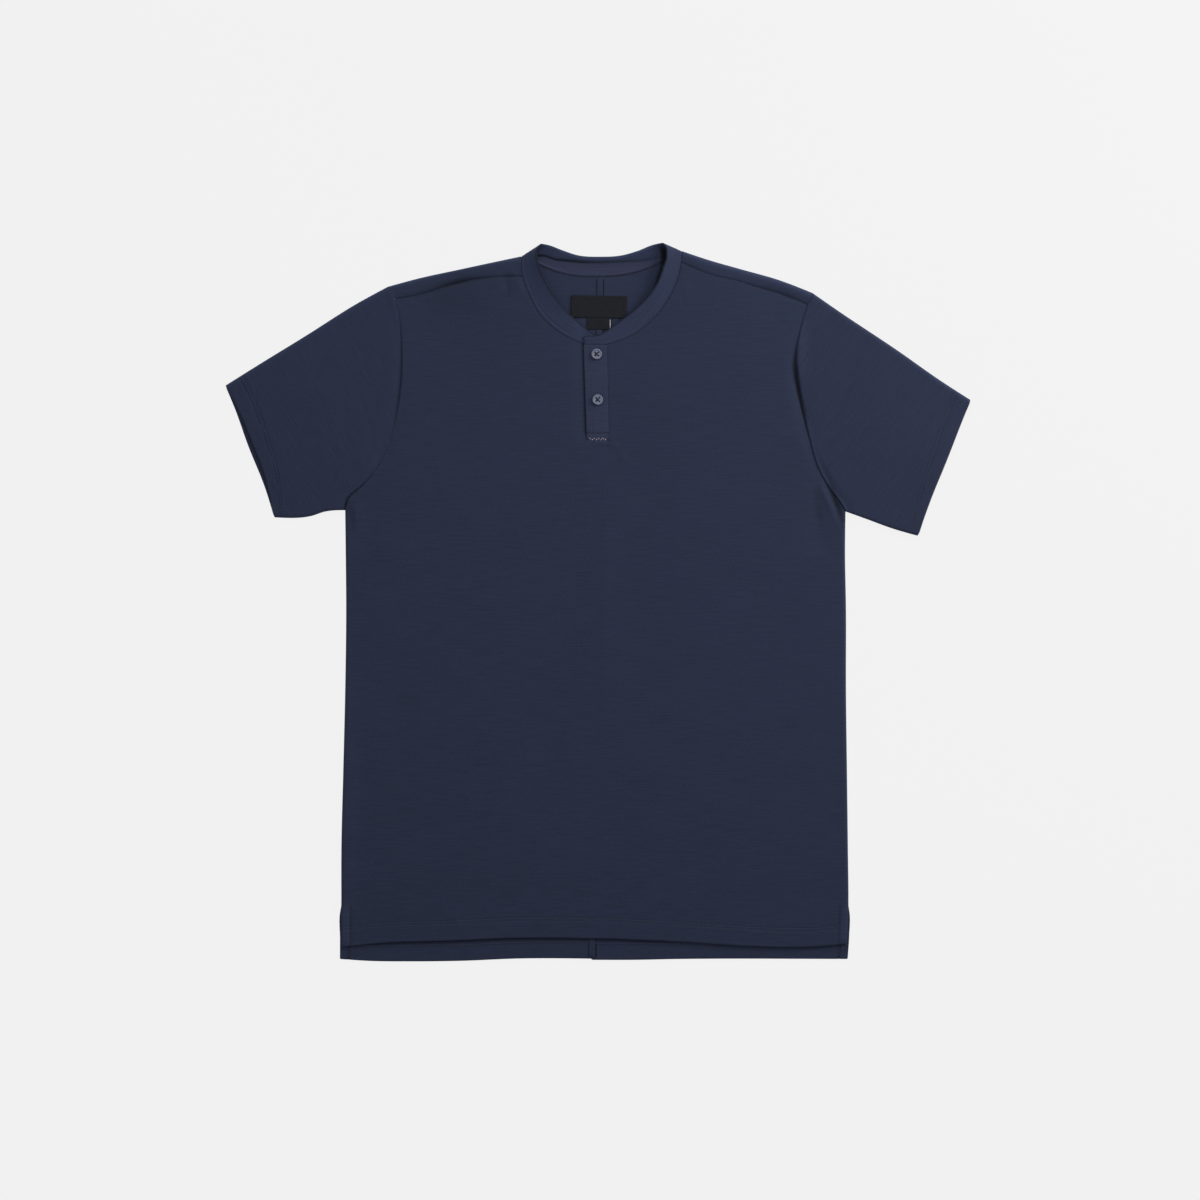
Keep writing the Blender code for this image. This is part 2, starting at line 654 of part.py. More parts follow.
def collar_half(side):
    """Seam and edge points of half the collar, from its lapped end to the centre back."""
    front_points, over_points, back_points = neck_seam(side)
    edges = [Line(run(table, side)) for table in (BAND_LAP, BAND_FRONT, BAND_SIDE, BAND_BACK)]
    end_x, _, end_z = edges[0].points[0]
    first = front_points[0]
    lap = [(x, LAP_LEVEL, end_z) for x in np.linspace(end_x, first[0], LAP_ROWS + 1)[:-1]]
    seam, edge = [], []
    last = []
    for points, line in zip([np.array(lap + [first]), front_points[1:], over_points,
                             back_points], edges):
        track = np.array(last + list(points))
        steps = np.linalg.norm(np.diff(track, axis=0), axis=1)
        shares = np.concatenate([[0.0], np.cumsum(steps)]) / steps.sum()
        seam.extend(points)
        edge.extend(line.at(shares[len(last):]))
        last = [points[-1]]
    return np.array(seam), np.array(edge)


def collar(collection):
    """The standing band, from its under end round the back to its upper end."""
    (seam, edge), (left_seam, left_edge) = collar_half(RIGHT), collar_half(LEFT)
    seam = np.concatenate([seam, left_seam[-2::-1]])
    edge = np.concatenate([edge, left_edge[-2::-1]])
    rise = edge - seam
    clear = COLLAR_GAP / np.linalg.norm(rise, axis=1)[:, None]
    rows = []
    for share in BAND_SHARES:
        row = seam + rise * (clear + (1 - clear) * share)
        row[:, 2] = seam[:, 2] + rise[:, 2] * share**BAND_FLARE
        rows.append(row[::-1])
    return cloth_object("collar_band", [np.array(rows)], BAND_WALL, collection)


def placket_band(name, collection, left_of, right_of, height, rows=6, columns=3):
    """A band of the placket, between two edge lines, its outer face at the given height."""
    levels = np.linspace(SLOT_BASE + SEAM_GAP, LAP_LEVEL - SEAM_GAP, rows + 1)
    share = np.linspace(0.0, 1.0, columns + 1)
    start, end = left_of(levels)[:, None], right_of(levels)[:, None]
    x = (1 - share) * start + share * end
    y = np.broadcast_to(levels[:, None], x.shape)
    z = height(levels)[:, None] + BAND_CROWN * (1 - (2 * share - 1) ** 2)
    return cloth_object(name, [np.dstack([x, y, z])], BAND_WALL, collection)


def upper_height(levels):
    """Height of the upper band: level with the left front that it is sewn to."""
    return cloth_top(np.column_stack([slot_edge(levels, LEFT), levels]))


def under_height(levels):
    """Height of the under band: level with the sunk edge of the right front."""
    return np.full(levels.shape, CLOTH_TOP - UNDER_DROP)


def plackets(collection):
    """The two bands of the placket, the left one over the right."""
    free_edge = (SLOT_BASE, LAP_LEVEL), (UPPER_EDGE_FOOT, UPPER_EDGE_HEAD)
    placket_band("placket_upper", collection,
                 lambda y: np.interp(y, *free_edge),
                 lambda y: slot_edge(y, LEFT) - SEAM_GAP, upper_height)
    placket_band("placket_under", collection,
                 lambda y: slot_edge(y, RIGHT) + SEAM_GAP,
                 lambda y: np.full(y.shape, UNDER_EDGE), under_height)


def button(name, place, collection, cutters):
    """A turned button with a rim round a dish, and four holes through it."""
    radius, top = 0.5 * BUTTON_DIAMETER, BUTTON_HEIGHT
    profile = (
        (0.0, top - BUTTON_DISH),
        (radius - BUTTON_RIM - BUTTON_DISH, top - BUTTON_DISH),
        (radius - BUTTON_RIM, top),
        (radius - 0.4, top),
        (radius, top - 0.5),
        (radius, 0.6),
        (radius - 0.8, 0.0),
        (0.0, 0.0),
    )
    mesh = bpy.data.meshes.new(name)
    points = [(r * MM, 0.0, z * MM) for r, z in profile]
    mesh.from_pydata(points, [(i, i + 1) for i in range(len(points) - 1)], [])
    made = bpy.data.objects.new(name, mesh)
    collection.objects.link(made)
    level = upper_height(np.array([place[1]]))[0] + BAND_CROWN + SEAM_GAP
    made.location = (place[0] * MM, place[1] * MM, level * MM)
    mesh.materials.append(material("button"))
    turn = made.modifiers.new("turn", "SCREW")
    turn.steps = turn.render_steps = 28
    turn.use_merge_vertices = True
    turn.merge_threshold = 0.00001
    for number in range(4):
        angle = math.radians(45 + 90 * number)
        away = 0.5 * HOLE_SPACING * math.sqrt(2)
        bpy.ops.mesh.primitive_cylinder_add(
            vertices=8, radius=0.5 * HOLE_DIAMETER * MM, depth=3 * BUTTON_HEIGHT * MM,
            location=((place[0] + away * math.cos(angle)) * MM,
                      (place[1] + away * math.sin(angle)) * MM, level * MM))
        hole = bpy.context.object
        hole.name = f"{name}_hole_{number}"
        for holder in list(hole.users_collection):
            holder.objects.unlink(hole)
        cutters.objects.link(hole)
        hole.hide_render = True
        hole.display_type = "WIRE"
        cut = made.modifiers.new(f"hole_{number}", "BOOLEAN")
        cut.operation = "DIFFERENCE"
        cut.object = hole
    return made


def label(name, x, y, width, height, turn, collection):
    """A woven label that lies on the inside of the back."""
    angle = math.radians(turn)
    across = np.array([math.cos(angle), math.sin(angle)])
    up = np.array([-math.sin(angle), math.cos(angle)])
    level = WALL + SEAM_GAP + LABEL_WALL
    rows = []
    for v in (-0.5, 0.5):
        corners = [np.array([x, y]) + across * width * u + up * height * v for u in (-0.5, 0.5)]
        rows.append([(*corner, level) for corner in corners])
    return cloth_object(name, [np.array(rows)], LABEL_WALL, collection, finish="label")


def build():
    """Clear the scene and make every piece of the shirt."""
    for old in list(bpy.data.objects):
        bpy.data.objects.remove(old, do_unlink=True)
    collection = bpy.data.collections.new(NAME)
    cutters = bpy.data.collections.new("cutters")
    for holder in (collection, cutters):
        bpy.context.scene.collection.children.link(holder)
    for side in (RIGHT, LEFT):
        back_half(side, collection)
        sleeve(side, collection)
    front(collection)
    collar(collection)
    plackets(collection)
    for name, place in BUTTONS.items():
        button(name, place, collection, cutters)
    for name, sizes in LABELS.items():
        label(name, *sizes, collection)


build()
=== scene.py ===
"""The looks of a short-sleeved jersey shirt with a standing band collar, laid flat on its back.

Lengths in the tables are millimetres, and become metres when a mesh is made. X runs across the
shirt to the wearer's left, Y from the hem to the neck, and Z up from the surface that it lies on.
The wearer's right is at -X.
"""

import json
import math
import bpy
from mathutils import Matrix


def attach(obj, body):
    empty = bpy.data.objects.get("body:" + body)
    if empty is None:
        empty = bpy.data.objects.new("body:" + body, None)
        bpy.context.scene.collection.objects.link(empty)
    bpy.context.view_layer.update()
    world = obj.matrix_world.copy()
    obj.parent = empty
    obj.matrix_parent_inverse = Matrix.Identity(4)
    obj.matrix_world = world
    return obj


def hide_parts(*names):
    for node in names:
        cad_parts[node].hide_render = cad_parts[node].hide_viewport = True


bl_info = {
    "name": "Band-collar jersey shirt",
    "version": (1, 0, 0),
    "blender": (4, 5, 0),
    "location": "3D View > Sidebar > Shirt",
    "description": "Sews the cloth, stitching, buttons and labels of a shirt laid flat",
    "category": "Object",
}

import bpy
import numpy as np
from bpy.props import FloatProperty, FloatVectorProperty, PointerProperty
from bpy.types import Operator, Panel, PropertyGroup
from mathutils import Vector

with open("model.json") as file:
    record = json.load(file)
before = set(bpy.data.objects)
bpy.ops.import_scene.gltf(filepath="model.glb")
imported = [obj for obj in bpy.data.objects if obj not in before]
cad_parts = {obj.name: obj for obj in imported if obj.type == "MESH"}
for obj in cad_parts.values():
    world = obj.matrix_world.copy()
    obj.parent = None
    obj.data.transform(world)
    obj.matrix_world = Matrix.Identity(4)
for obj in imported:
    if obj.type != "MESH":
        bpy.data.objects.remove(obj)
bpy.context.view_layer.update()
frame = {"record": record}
SLOT_COLOURS = {entry["slot"]: entry["base_color"] for entry in frame["record"]["materials"]}

MM = 0.001
BODY = "root"
LABEL_SHADE = 0.8       # the labels' colour against the CAD's, which is seen in its own light
RIGHT, LEFT = 0, 1      # the wearer's sides, and the column pairs of the tables below
SIDES = ("right", "left")
OUTWARD = (-1.0, 1.0)

# Cloth
WALL = 1.2              # jersey, with its loft
HEM_WALL = 2.2          # jersey turned up once
BAND_WALL = 1.6         # two plies of the collar and the placket
SEAM_SLIT = 0.12        # between two pieces at a seam
ROLL = 3.2              # plan width of a rounded edge
SEAM_LEVEL = 2.8        # height of the side seam, half-way up a rounded edge
CLOTH_TOP = 5.6         # height of the upper layer
WELD = 0.01             # points nearer than this are joined
RIM_STEPS = 4           # faces round the edge of a wall
SEAM_RIM = 0.15         # how round a wall's edge is in a seam, where a free edge has 1
ROLL_ANGLES = (6, 15, 25, 35, 45, 55, 65, 76, 90)
NEAR_SEAM = (3.6, 2.6, 1.8, 1.1, 0.5, 0.0)

# Hems
HEM = 20.0
VENT_HEM = 9.0
VENT_TOP = -315.0
HEM_STEP = 2.0
HEM_END = HEM + 3.0     # up to here the rows are fine enough for the hem's stitching
VENT_REACH = 9.0
VENT_CURL = 0.15
SUNK_STITCHES = 0.40    # level of the stitches in the underside, clear of the ground

# Placket
SLOT_BASE = 165.5
SLOT_FOOT = (-11.4, 11.4)
GAPS_ABOVE_SLOT_BASE = 4    # how many of the gaps between the front's stops lie above it
UNDER_DROP = 2.1        # how far the right front sinks under the upper band, and over what
DROP_REACH = 16.0
DROP_START = 12.0
LAP_LEVEL = 267.0       # lower edge of the collar's lapped ends
UPPER_EDGE_FOOT = -11.0
UPPER_EDGE_HEAD = -14.4
UNDER_EDGE = 9.2
BAND_CROWN = 0.25

# Collar
BAND_FLARE = 1.6
BAND_ROWS = 18

# Corners where the outlines below meet: right x, right y, left x, left y
FRONT_CORNER = (-266.6, -357.4, 259.1, -354.0)
BACK_CORNER = (-268.6, -370.5, 259.9, -370.5)
VENT_CORNER = (-267.0, -315.0, 260.5, -315.0)
ARMPIT = (-263.0, 95.5, 257.5, 94.0)
SHOULDER_POINT = (-211.0, 315.0, 217.5, 309.0)
SHOULDER_TOP = (-218.5, 328.0, 223.0, 321.5)
NECK_POINT = (-79.0, 338.5, 86.5, 353.0)
NECK_TOP = (-80.0, 359.5, 87.5, 365.0)
CUFF_TOP = (-387.0, 225.5, 387.0, 210.5)
CUFF_FOOT = (-336.0, 88.0, 332.0, 69.0)

# From the hem up to the armpit
SIDE = (
    FRONT_CORNER,
    VENT_CORNER,
    (-267.0, -258.0, 260.0, -258.0),
    (-265.0, -174.5, 259.0, -174.5),
    (-263.0, -91.5, 258.0, -91.5),
    (-262.0, -8.5, 258.0, -8.5),
    (-262.5, 54.0, 257.0, 54.0),
    ARMPIT,
)
# The back's free edge at the vents, from its hem up to the vents' tops
BACK_VENT = (
    BACK_CORNER,
    (-268.5, -351.5, 261.5, -346.5),
    (-268.5, -323.0, 261.9, -324.0),
    VENT_CORNER,
)
# From the armpit up to the shoulder seam
ARMHOLE = (
    ARMPIT,
    (-261.2, 106.0, 253.0, 102.5),
    (-245.5, 121.5, 241.0, 118.0),
    (-228.0, 142.5, 229.0, 139.5),
    (-216.5, 168.5, 219.2, 171.5),
    (-209.2, 199.5, 210.8, 205.0),
    (-205.0, 231.0, 206.5, 238.0),
    (-204.5, 262.0, 206.5, 265.0),
    (-207.0, 296.0, 212.5, 293.5),
    SHOULDER_POINT,
)
# From the shoulder seam over to the fold along the shoulder's top
SHOULDER_END = (
    SHOULDER_POINT,
    (-216.0, 322.5, 221.5, 316.0),
    SHOULDER_TOP,
)
# From the armhole in to the neck
SHOULDER_SEAM = (
    SHOULDER_POINT,
    (-185.0, 320.0, 189.5, 320.5),
    (-159.0, 328.5, 163.5, 328.0),
    (-138.5, 334.0, 147.5, 333.0),
    (-113.0, 337.5, 118.0, 340.0),
    NECK_POINT,
)
SHOULDER_FOLD = (
    SHOULDER_TOP,
    (-185.0, 337.0, 189.5, 334.5),
    (-143.5, 346.0, 147.5, 346.5),
    (-111.0, 353.0, 116.0, 355.5),
    NECK_TOP,
)
# From the placket out to the shoulder seam
FRONT_NECK = (
    (-13.0, 267.8, 9.4, 267.4),
    (-24.0, 271.2, 28.0, 273.6),
    (-37.5, 278.2, 43.5, 282.4),
    (-50.0, 287.6, 58.0, 295.4),
    (-60.8, 299.0, 68.8, 308.6),
    (-68.5, 312.0, 78.0, 324.5),
    (-75.0, 326.5, 83.5, 339.0),
    NECK_POINT,
)
# From the shoulder seam over to the fold beside the collar
NECK_END = (
    NECK_POINT,
    (-80.2, 349.0, 87.4, 359.0),
    NECK_TOP,
)
# From the centre of the back out to the fold beside the collar
BACK_NECK = (
    (2.3, 338.0, 2.3, 338.0),
    (-24.0, 339.0, 28.0, 340.0),
    (-39.5, 342.0, 49.0, 345.5),
    (-55.0, 347.5, 66.5, 353.5),
    (-68.0, 353.5, 77.5, 359.5),
    NECK_TOP,
)
# From the side in to the centre
FRONT_HEM = (
    FRONT_CORNER,
    (-230.0, -353.7, 225.0, -357.2),
    (-154.0, -350.9, 168.5, -357.0),
    (-81.0, -348.0, 85.5, -352.1),
    (-12.0, -348.6, 12.6, -348.9),
)
BACK_HEM = (
    BACK_CORNER,
    (-238.0, -372.5, 225.0, -370.4),
    (-195.0, -373.0, 127.0, -370.2),
    (-145.0, -372.5, 80.0, -370.6),
    (-81.0, -370.0, 39.5, -371.4),
    (-6.0, -370.2, -6.0, -371.4),
)
# The sleeves' outlines, from the shoulder out to the cuff, and along the cuff to the underarm
SLEEVE_FOLD = (
    SHOULDER_TOP,
    (-251.5, 310.0, 247.5, 304.5),
    (-301.5, 278.5, 314.0, 260.0),
    (-360.0, 242.5, 356.0, 230.5),
    CUFF_TOP,
)
UNDERARM = (
    ARMPIT,
    (-284.0, 94.0, 280.0, 86.0),
    (-298.0, 89.5, 306.0, 76.5),
    CUFF_FOOT,
)
CUFF = (
    CUFF_TOP,
    (-372.5, 199.5, 376.5, 186.0),
    (-358.0, 165.5, 361.0, 147.5),
    (-343.0, 124.0, 347.0, 113.0),
    CUFF_FOOT,
)
CUFF_PEEK = (5.5, 1.0)  # how far the back of each cuff shows past its front

# The collar's upper edge, with its height: x, y, z of the right half and of the left half
BAND_LAP_END = (-12.0, 283.5, 3.7, 16.0, 286.0, 6.2)
BAND_FRONT_END = (-61.0, 345.0, 11.6, 68.5, 347.0, 12.2)
BAND_SIDE_END = (-59.5, 372.0, 8.0, 67.5, 373.0, 8.4)
BAND_LAP = (
    (8.0, 274.6, 3.5, -13.8, 276.0, 5.8),
    (-3.0, 276.8, 3.5, 2.0, 277.2, 5.9),
    BAND_LAP_END,
)
BAND_FRONT = (
    BAND_LAP_END,
    (-22.0, 291.5, 5.2, 30.0, 296.5, 7.2),
    (-31.0, 299.5, 7.0, 41.5, 306.0, 8.4),
    (-41.0, 311.0, 8.6, 52.0, 316.5, 9.8),
    (-53.0, 328.0, 10.4, 61.5, 329.5, 11.2),
    BAND_FRONT_END,
)
BAND_SIDE = (
    BAND_FRONT_END,
    (-64.3, 357.0, 12.0, 72.0, 359.5, 12.6),
    (-63.2, 367.5, 11.0, 71.0, 368.5, 11.6),
    BAND_SIDE_END,
)
BAND_BACK = (
    BAND_SIDE_END,
    (-52.0, 370.8, 5.0, 58.5, 371.3, 5.2),
    (-38.0, 365.5, 3.6, 42.0, 364.8, 3.8),
    (-20.0, 359.8, 3.0, 24.0, 359.8, 3.2),
    (2.3, 358.5, 2.8, 2.3, 358.5, 2.8),
)

# Soft folds of the upper layer: from x, y to x, y, half width, height
FOLDS = (
    (5.0, 120.0, 6.0, -120.0, 20.0, 0.9),
    (-110.0, 190.0, -60.0, 60.0, 70.0, 0.7),
    (110.0, 200.0, 90.0, 40.0, 70.0, 0.9),
    (-130.0, -90.0, -110.0, -250.0, 80.0, 0.5),
    (140.0, -60.0, 120.0, -240.0, 80.0, 0.6),
    (232.0, 128.0, 230.0, 62.0, 12.0, -1.1),
    (-236.0, 96.0, -244.0, 40.0, 14.0, -0.8),
    (-300.0, 215.0, -340.0, 175.0, 45.0, 1.3),
    (300.0, 210.0, 330.0, 160.0, 45.0, 1.4),
)
# Depth of the valley along the armholes, from armpit to shoulder: share, right, left
ARMHOLE_VALLEY = (
    (0.00, 0.8, 1.0),
    (0.35, 0.7, 1.4),
    (0.62, 0.9, 2.3),
    (0.80, 0.7, 1.6),
    (1.00, 0.4, 0.5),
)
VALLEY_HALF_WIDTH = 7.0

# Fine creases of the upper layer: the plan points that one follows, half width, height
CREASES = (
    (((4.0, 150.0), (6.5, 60.0), (5.0, -60.0), (3.0, -190.0)), 3.2, 0.26),
    (((10.6, 176.0), (16.0, 164.0), (25.0, 152.0), (38.0, 141.0)), 2.6, 0.5),
    (((-11.5, 170.0), (-18.0, 158.0), (-24.0, 140.0)), 2.8, 0.22),
    (((210.5, 296.0), (209.5, 272.0), (210.0, 245.0), (215.0, 218.0)), 4.2, 0.8),
    (((223.0, 180.0), (231.0, 153.0), (243.0, 131.0), (255.0, 113.0)), 3.6, 0.5),
    (((-211.5, 314.0), (-210.5, 300.0), (-209.0, 284.0)), 2.0, 0.45),
    (((238.0, 124.0), (246.0, 107.0), (251.3, 92.0), (255.0, 78.0)), 2.9, -2.0),
    (((229.0, 136.0), (235.0, 113.0), (243.5, 93.0), (252.0, 74.0)), 2.8, 1.0),
    (((226.0, 124.0), (228.0, 102.0), (232.0, 76.0)), 4.5, -0.6),
    (((-226.0, 176.0), (-233.5, 150.0), (-249.0, 130.0), (-263.0, 118.0)), 4.0, 0.8),
    (((-262.0, 106.0), (-257.0, 92.0), (-254.0, 70.0)), 3.0, -0.7),
    (((-252.0, 132.0), (-262.0, 116.0), (-270.0, 106.0)), 3.4, 0.6),
    (((-88.0, 346.0), (-84.0, 334.0), (-79.0, 318.0)), 3.0, 0.55),
    (((-98.0, 343.0), (-93.0, 330.0), (-92.0, 316.0)), 3.4, -0.5),
    (((-217.5, 325.0), (-214.5, 314.0), (-212.5, 305.0)), 3.2, 0.8),
    (((89.0, 333.0), (92.0, 321.0), (97.0, 307.0)), 2.2, 0.5),
    (((79.0, 320.0), (84.0, 309.0), (91.0, 298.0)), 2.0, 0.4),
    (((-14.5, 162.6), (-2.0, 161.6), (9.5, 162.4)), 1.5, -0.45),
)
# The pinch of the cloth into the armhole's seam, from armpit to shoulder: share, then the depth
# and the half widths on the body and on the sleeve, for the right armhole and for the left one
ARMHOLE_PINCH = (
    (0.00, 1.4, 0.8, 1.8, 1.2, 1.0, 0.8),
    (0.03, 2.4, 0.9, 3.6, 1.2, 1.2, 0.9),
    (0.10, 1.6, 1.2, 4.4, 0.9, 1.3, 1.0),
    (0.16, 1.0, 1.2, 3.4, 0.6, 1.2, 1.0),
    (0.22, 0.3, 1.0, 2.4, 0.4, 1.1, 1.0),
    (0.34, 0.1, 0.9, 2.0, 0.3, 1.1, 1.0),
    (0.46, 0.3, 0.8, 2.2, 1.0, 1.1, 2.4),
    (0.54, 0.6, 0.8, 3.0, 2.3, 1.3, 4.4),
    (0.62, 0.8, 0.8, 3.4, 2.7, 2.6, 3.4),
    (0.70, 0.8, 0.8, 3.6, 2.7, 4.4, 1.8),
    (0.76, 0.7, 0.8, 3.0, 1.8, 2.6, 1.0),
    (0.83, 0.4, 0.8, 1.8, 0.6, 1.2, 0.8),
    (0.92, 0.0, 0.8, 1.0, 0.3, 1.0, 0.8),
    (1.00, 0.0, 0.8, 1.0, 0.2, 1.0, 0.8),
)
# The share of each armhole past which the body, and not the sleeve, stands full up to the seam
BODY_FULL_FROM = (0.47, 2.0)
VALLEY_FILL = 0.85
FILL_STEP = 1.0         # how far from the seam the full piece has risen
# How deep the yoke's edge sinks at the shoulder seam, from armhole to neck: share, right, left
SHOULDER_SINK = (
    (0.00, 0.2, 0.4),
    (0.18, 0.5, 0.9),
    (0.35, 0.9, 0.6),
    (0.50, 1.8, 0.2),
    (0.65, 0.9, 0.0),
    (0.82, 0.1, 0.1),
    (0.93, 0.5, 0.4),
    (1.00, 0.3, 0.2),
)
SINK_HALF_WIDTH = 5.2
LOWEST = 2.95           # the upper layer's lowest level, clear of the layer under it
# Hollows, grooves and seams darken the cloth's colour as painted shade, down to HOLLOW_SHADE of
# it.
HOLLOW_FULL = 2.6       # depth of a hollow at which its painted shade is darkest
HOLLOW_SHADE = 0.13

# Painted light and painted shade: patches where the cloth is painted paler or darker as the light
# falls on its folds, seams and edges: x, y of the centre, half width, half height, amount
LIGHT_AND_SHADE_PATCHES = (
    (-148.0, 314.0, 34.0, 22.0, -0.15),
    (-100.0, 290.0, 55.0, 60.0, -0.06),
    (30.0, 200.0, 120.0, 60.0, -0.02),
    (165.0, 300.0, 40.0, 40.0, 0.05),
    (-255.0, -200.0, 9.0, 140.0, 0.10),
    (20.0, 310.0, 40.0, 30.0, -0.06),
    (214.0, 268.0, 7.0, 26.0, 0.14),
    (-236.0, 150.0, 9.0, 22.0, 0.08),
    (-90.0, -330.0, 160.0, 40.0, -0.02),
)
RIM_HIGHLIGHT = 0.55         # painted highlight: how much paler the cloth is along the folds at the outline
# The shadow under the left end of the band's opening, from its edge in to here: y, x
NECK_SHADOW = ((322.0, 56.6), (326.5, 58.2), (334.0, 60.4), (342.0, 62.6), (349.5, 64.8),
               (357.0, 65.8), (365.0, 64.8), (374.0, 63.5))

# The fold line across the inside of the band at the back, which thins the band and is darkened
# along it as painted shade: x, y, strength
BAND_FOLD = (
    (-56.0, 360.4, 1.2),
    (-44.0, 356.3, 1.4),
    (-16.0, 353.6, 1.25),
    (2.0, 353.2, 0.85),
    (44.0, 355.2, 0.65),
    (60.0, 358.4, 0.4),
)
BAND_LIFT = 0.19        # how much paler the band and the placket are than the body
PLACKET_LIFT = 0.20
PLACKET_WARMTH = 0.4
# painted highlight: how much paler the raised strip beside each vent is
VENT_HIGHLIGHT = 0.18

# Rows of stitches, by their distance from the edge
HEM_ROWS = (16.4, 19.4)
CUFF_ROWS = (15.6, 20.0)
VENT_ROW = 9.2
COLLAR_ROW = 3.6
PLACKET_EDGE_ROW = 4.6
PLACKET_FOOT_ROWS = (168.4, 175.5)

# Buttons: x, y
BUTTONS = {"button_upper": (-1.4, 257.6), "button_lower": (-0.3, 210.2)}
HOLE_REACH = 1.75       # from the button's middle to a hole's, along x and along y
HOLE_RADIUS = 0.82
SAME = 1e-6             # metres within which two lengths are taken as one

# Labels on the inside of the back: x, y of the centre, width, height, turn in degrees
LABELS = {
    "neck_label": (1.0, 307.2, 58.0, 22.6, -1.2),
    "size_label": (1.2, 289.6, 25.5, 12.0, -1.2),
}
LABEL_LEVEL = 2.5       # the height of the cloth that the labels are sewn to

# The camera, straight above, and the studio's light: names, places in metres, watts, sizes
CAMERA_HEIGHT = 3.0
SENSOR_WIDTH = 36.0
FRAME_WIDTH = 1.2495
FRAME_CENTRE = (0.00208, 0.00208)
SKY_COLOUR = (0.93, 0.95, 1.0, 1.0)
SKY_STRENGTH = 0.405
GROUND_GLOW = 0.858
GROUND_SIZE = 90.0
GROUND_LEVEL = -0.0003
LAMPS = (
    ("soft", (0.2, 1.3, 1.6), 14.3, 1.8),
    ("side", (1.4, 0.9, 0.8), 15.4, 0.8),
)


def mm_property(name, description, default, low, high):
    """A length that is given in millimetres and kept in metres."""
    return FloatProperty(
        name=name, description=description, default=default * MM, min=low * MM, max=high * MM,
        unit="LENGTH", subtype="DISTANCE")


def rgb_property(name, description, default):
    return FloatVectorProperty(
        name=name, description=description, default=default, size=3, min=0, max=1,
        subtype="COLOR")


class ShirtSizes(PropertyGroup):
    """Sizes of the shirt's sewing that can be changed before its pieces are made."""

    stitch: mm_property("Stitch", "Length of one stitch of the topstitching", 2.5, 1.0, 6.0)
    stitch_gap: mm_property("Stitch gap", "Gap between one stitch and the next", 0.7, 0.2, 3.0)
    thread: mm_property("Thread", "Thickness of the sewing thread", 0.42, 0.2, 1.0)
    groove: mm_property("Stitch groove", "How deep a row of stitches pulls the cloth in",
                        0.28, 0.0, 1.0)
    seam_dip: mm_property("Seam dip", "How deep the cloth turns down into a seam", 0.5, 0.0, 1.0)
    button_diameter: mm_property("Button diameter", "Diameter of the two buttons",
                                 10.8, 9.0, 13.0)
    button_height: mm_property("Button height", "Thickness of a button at its rim", 2.4, 1.5, 3.0)


class ShirtColours(PropertyGroup):
    """Colours of the shirt's materials."""

    jersey: rgb_property("Jersey", "Colour of the knitted cloth", (0.0222, 0.0292, 0.0600))
    streak: rgb_property("Streak", "Colour of the heather's warmer yarns",
                         (0.0262, 0.0285, 0.0560))
    thread: rgb_property("Thread", "Colour of the sewing thread", (0.040, 0.047, 0.080))
    # Darker than the cloth that it is sewn to: painted shade of the stitch grooves at the cuffs,
    # vents and placket's foot.
    groove_shade_thread: rgb_property("Dark thread", "Colour of the thread at the cuffs, vents and seams",
                              (0.014, 0.018, 0.036))
    tack: rgb_property("Tack thread", "Colour of the pale row of tack stitches",
                       (0.42, 0.39, 0.46))
    button: rgb_property("Button", "Colour of the buttons", (0.155, 0.170, 0.245))
    # Near black: the thread's own dark colour together with painted shade of the button's holes.
    button_thread: rgb_property("Button thread", "Colour of the thread that holds the buttons",
                                (0.003, 0.004, 0.007))
    label: rgb_property("Label", "Colour of the woven labels",
                        [LABEL_SHADE * channel for channel in SLOT_COLOURS["label"][:3]])
    label_bar: rgb_property("Label bar", "Colour of the plain bar on the size tab",
                            (0.62, 0.62, 0.64))
    label_thread: rgb_property("Label thread", "Colour of the thread at the neck label's ends",
                               (0.012, 0.013, 0.017))
    floor: rgb_property("Floor", "Colour of the ground under the shirt", (0.03, 0.03, 0.03))


# ---- lines and surfaces ----------------------------------------------------------------------


def arc_lengths(points):
    """How far along the line through the points each of them is."""
    steps = np.linalg.norm(np.diff(points, axis=0), axis=1)
    return np.concatenate([[0.0], np.cumsum(steps)])


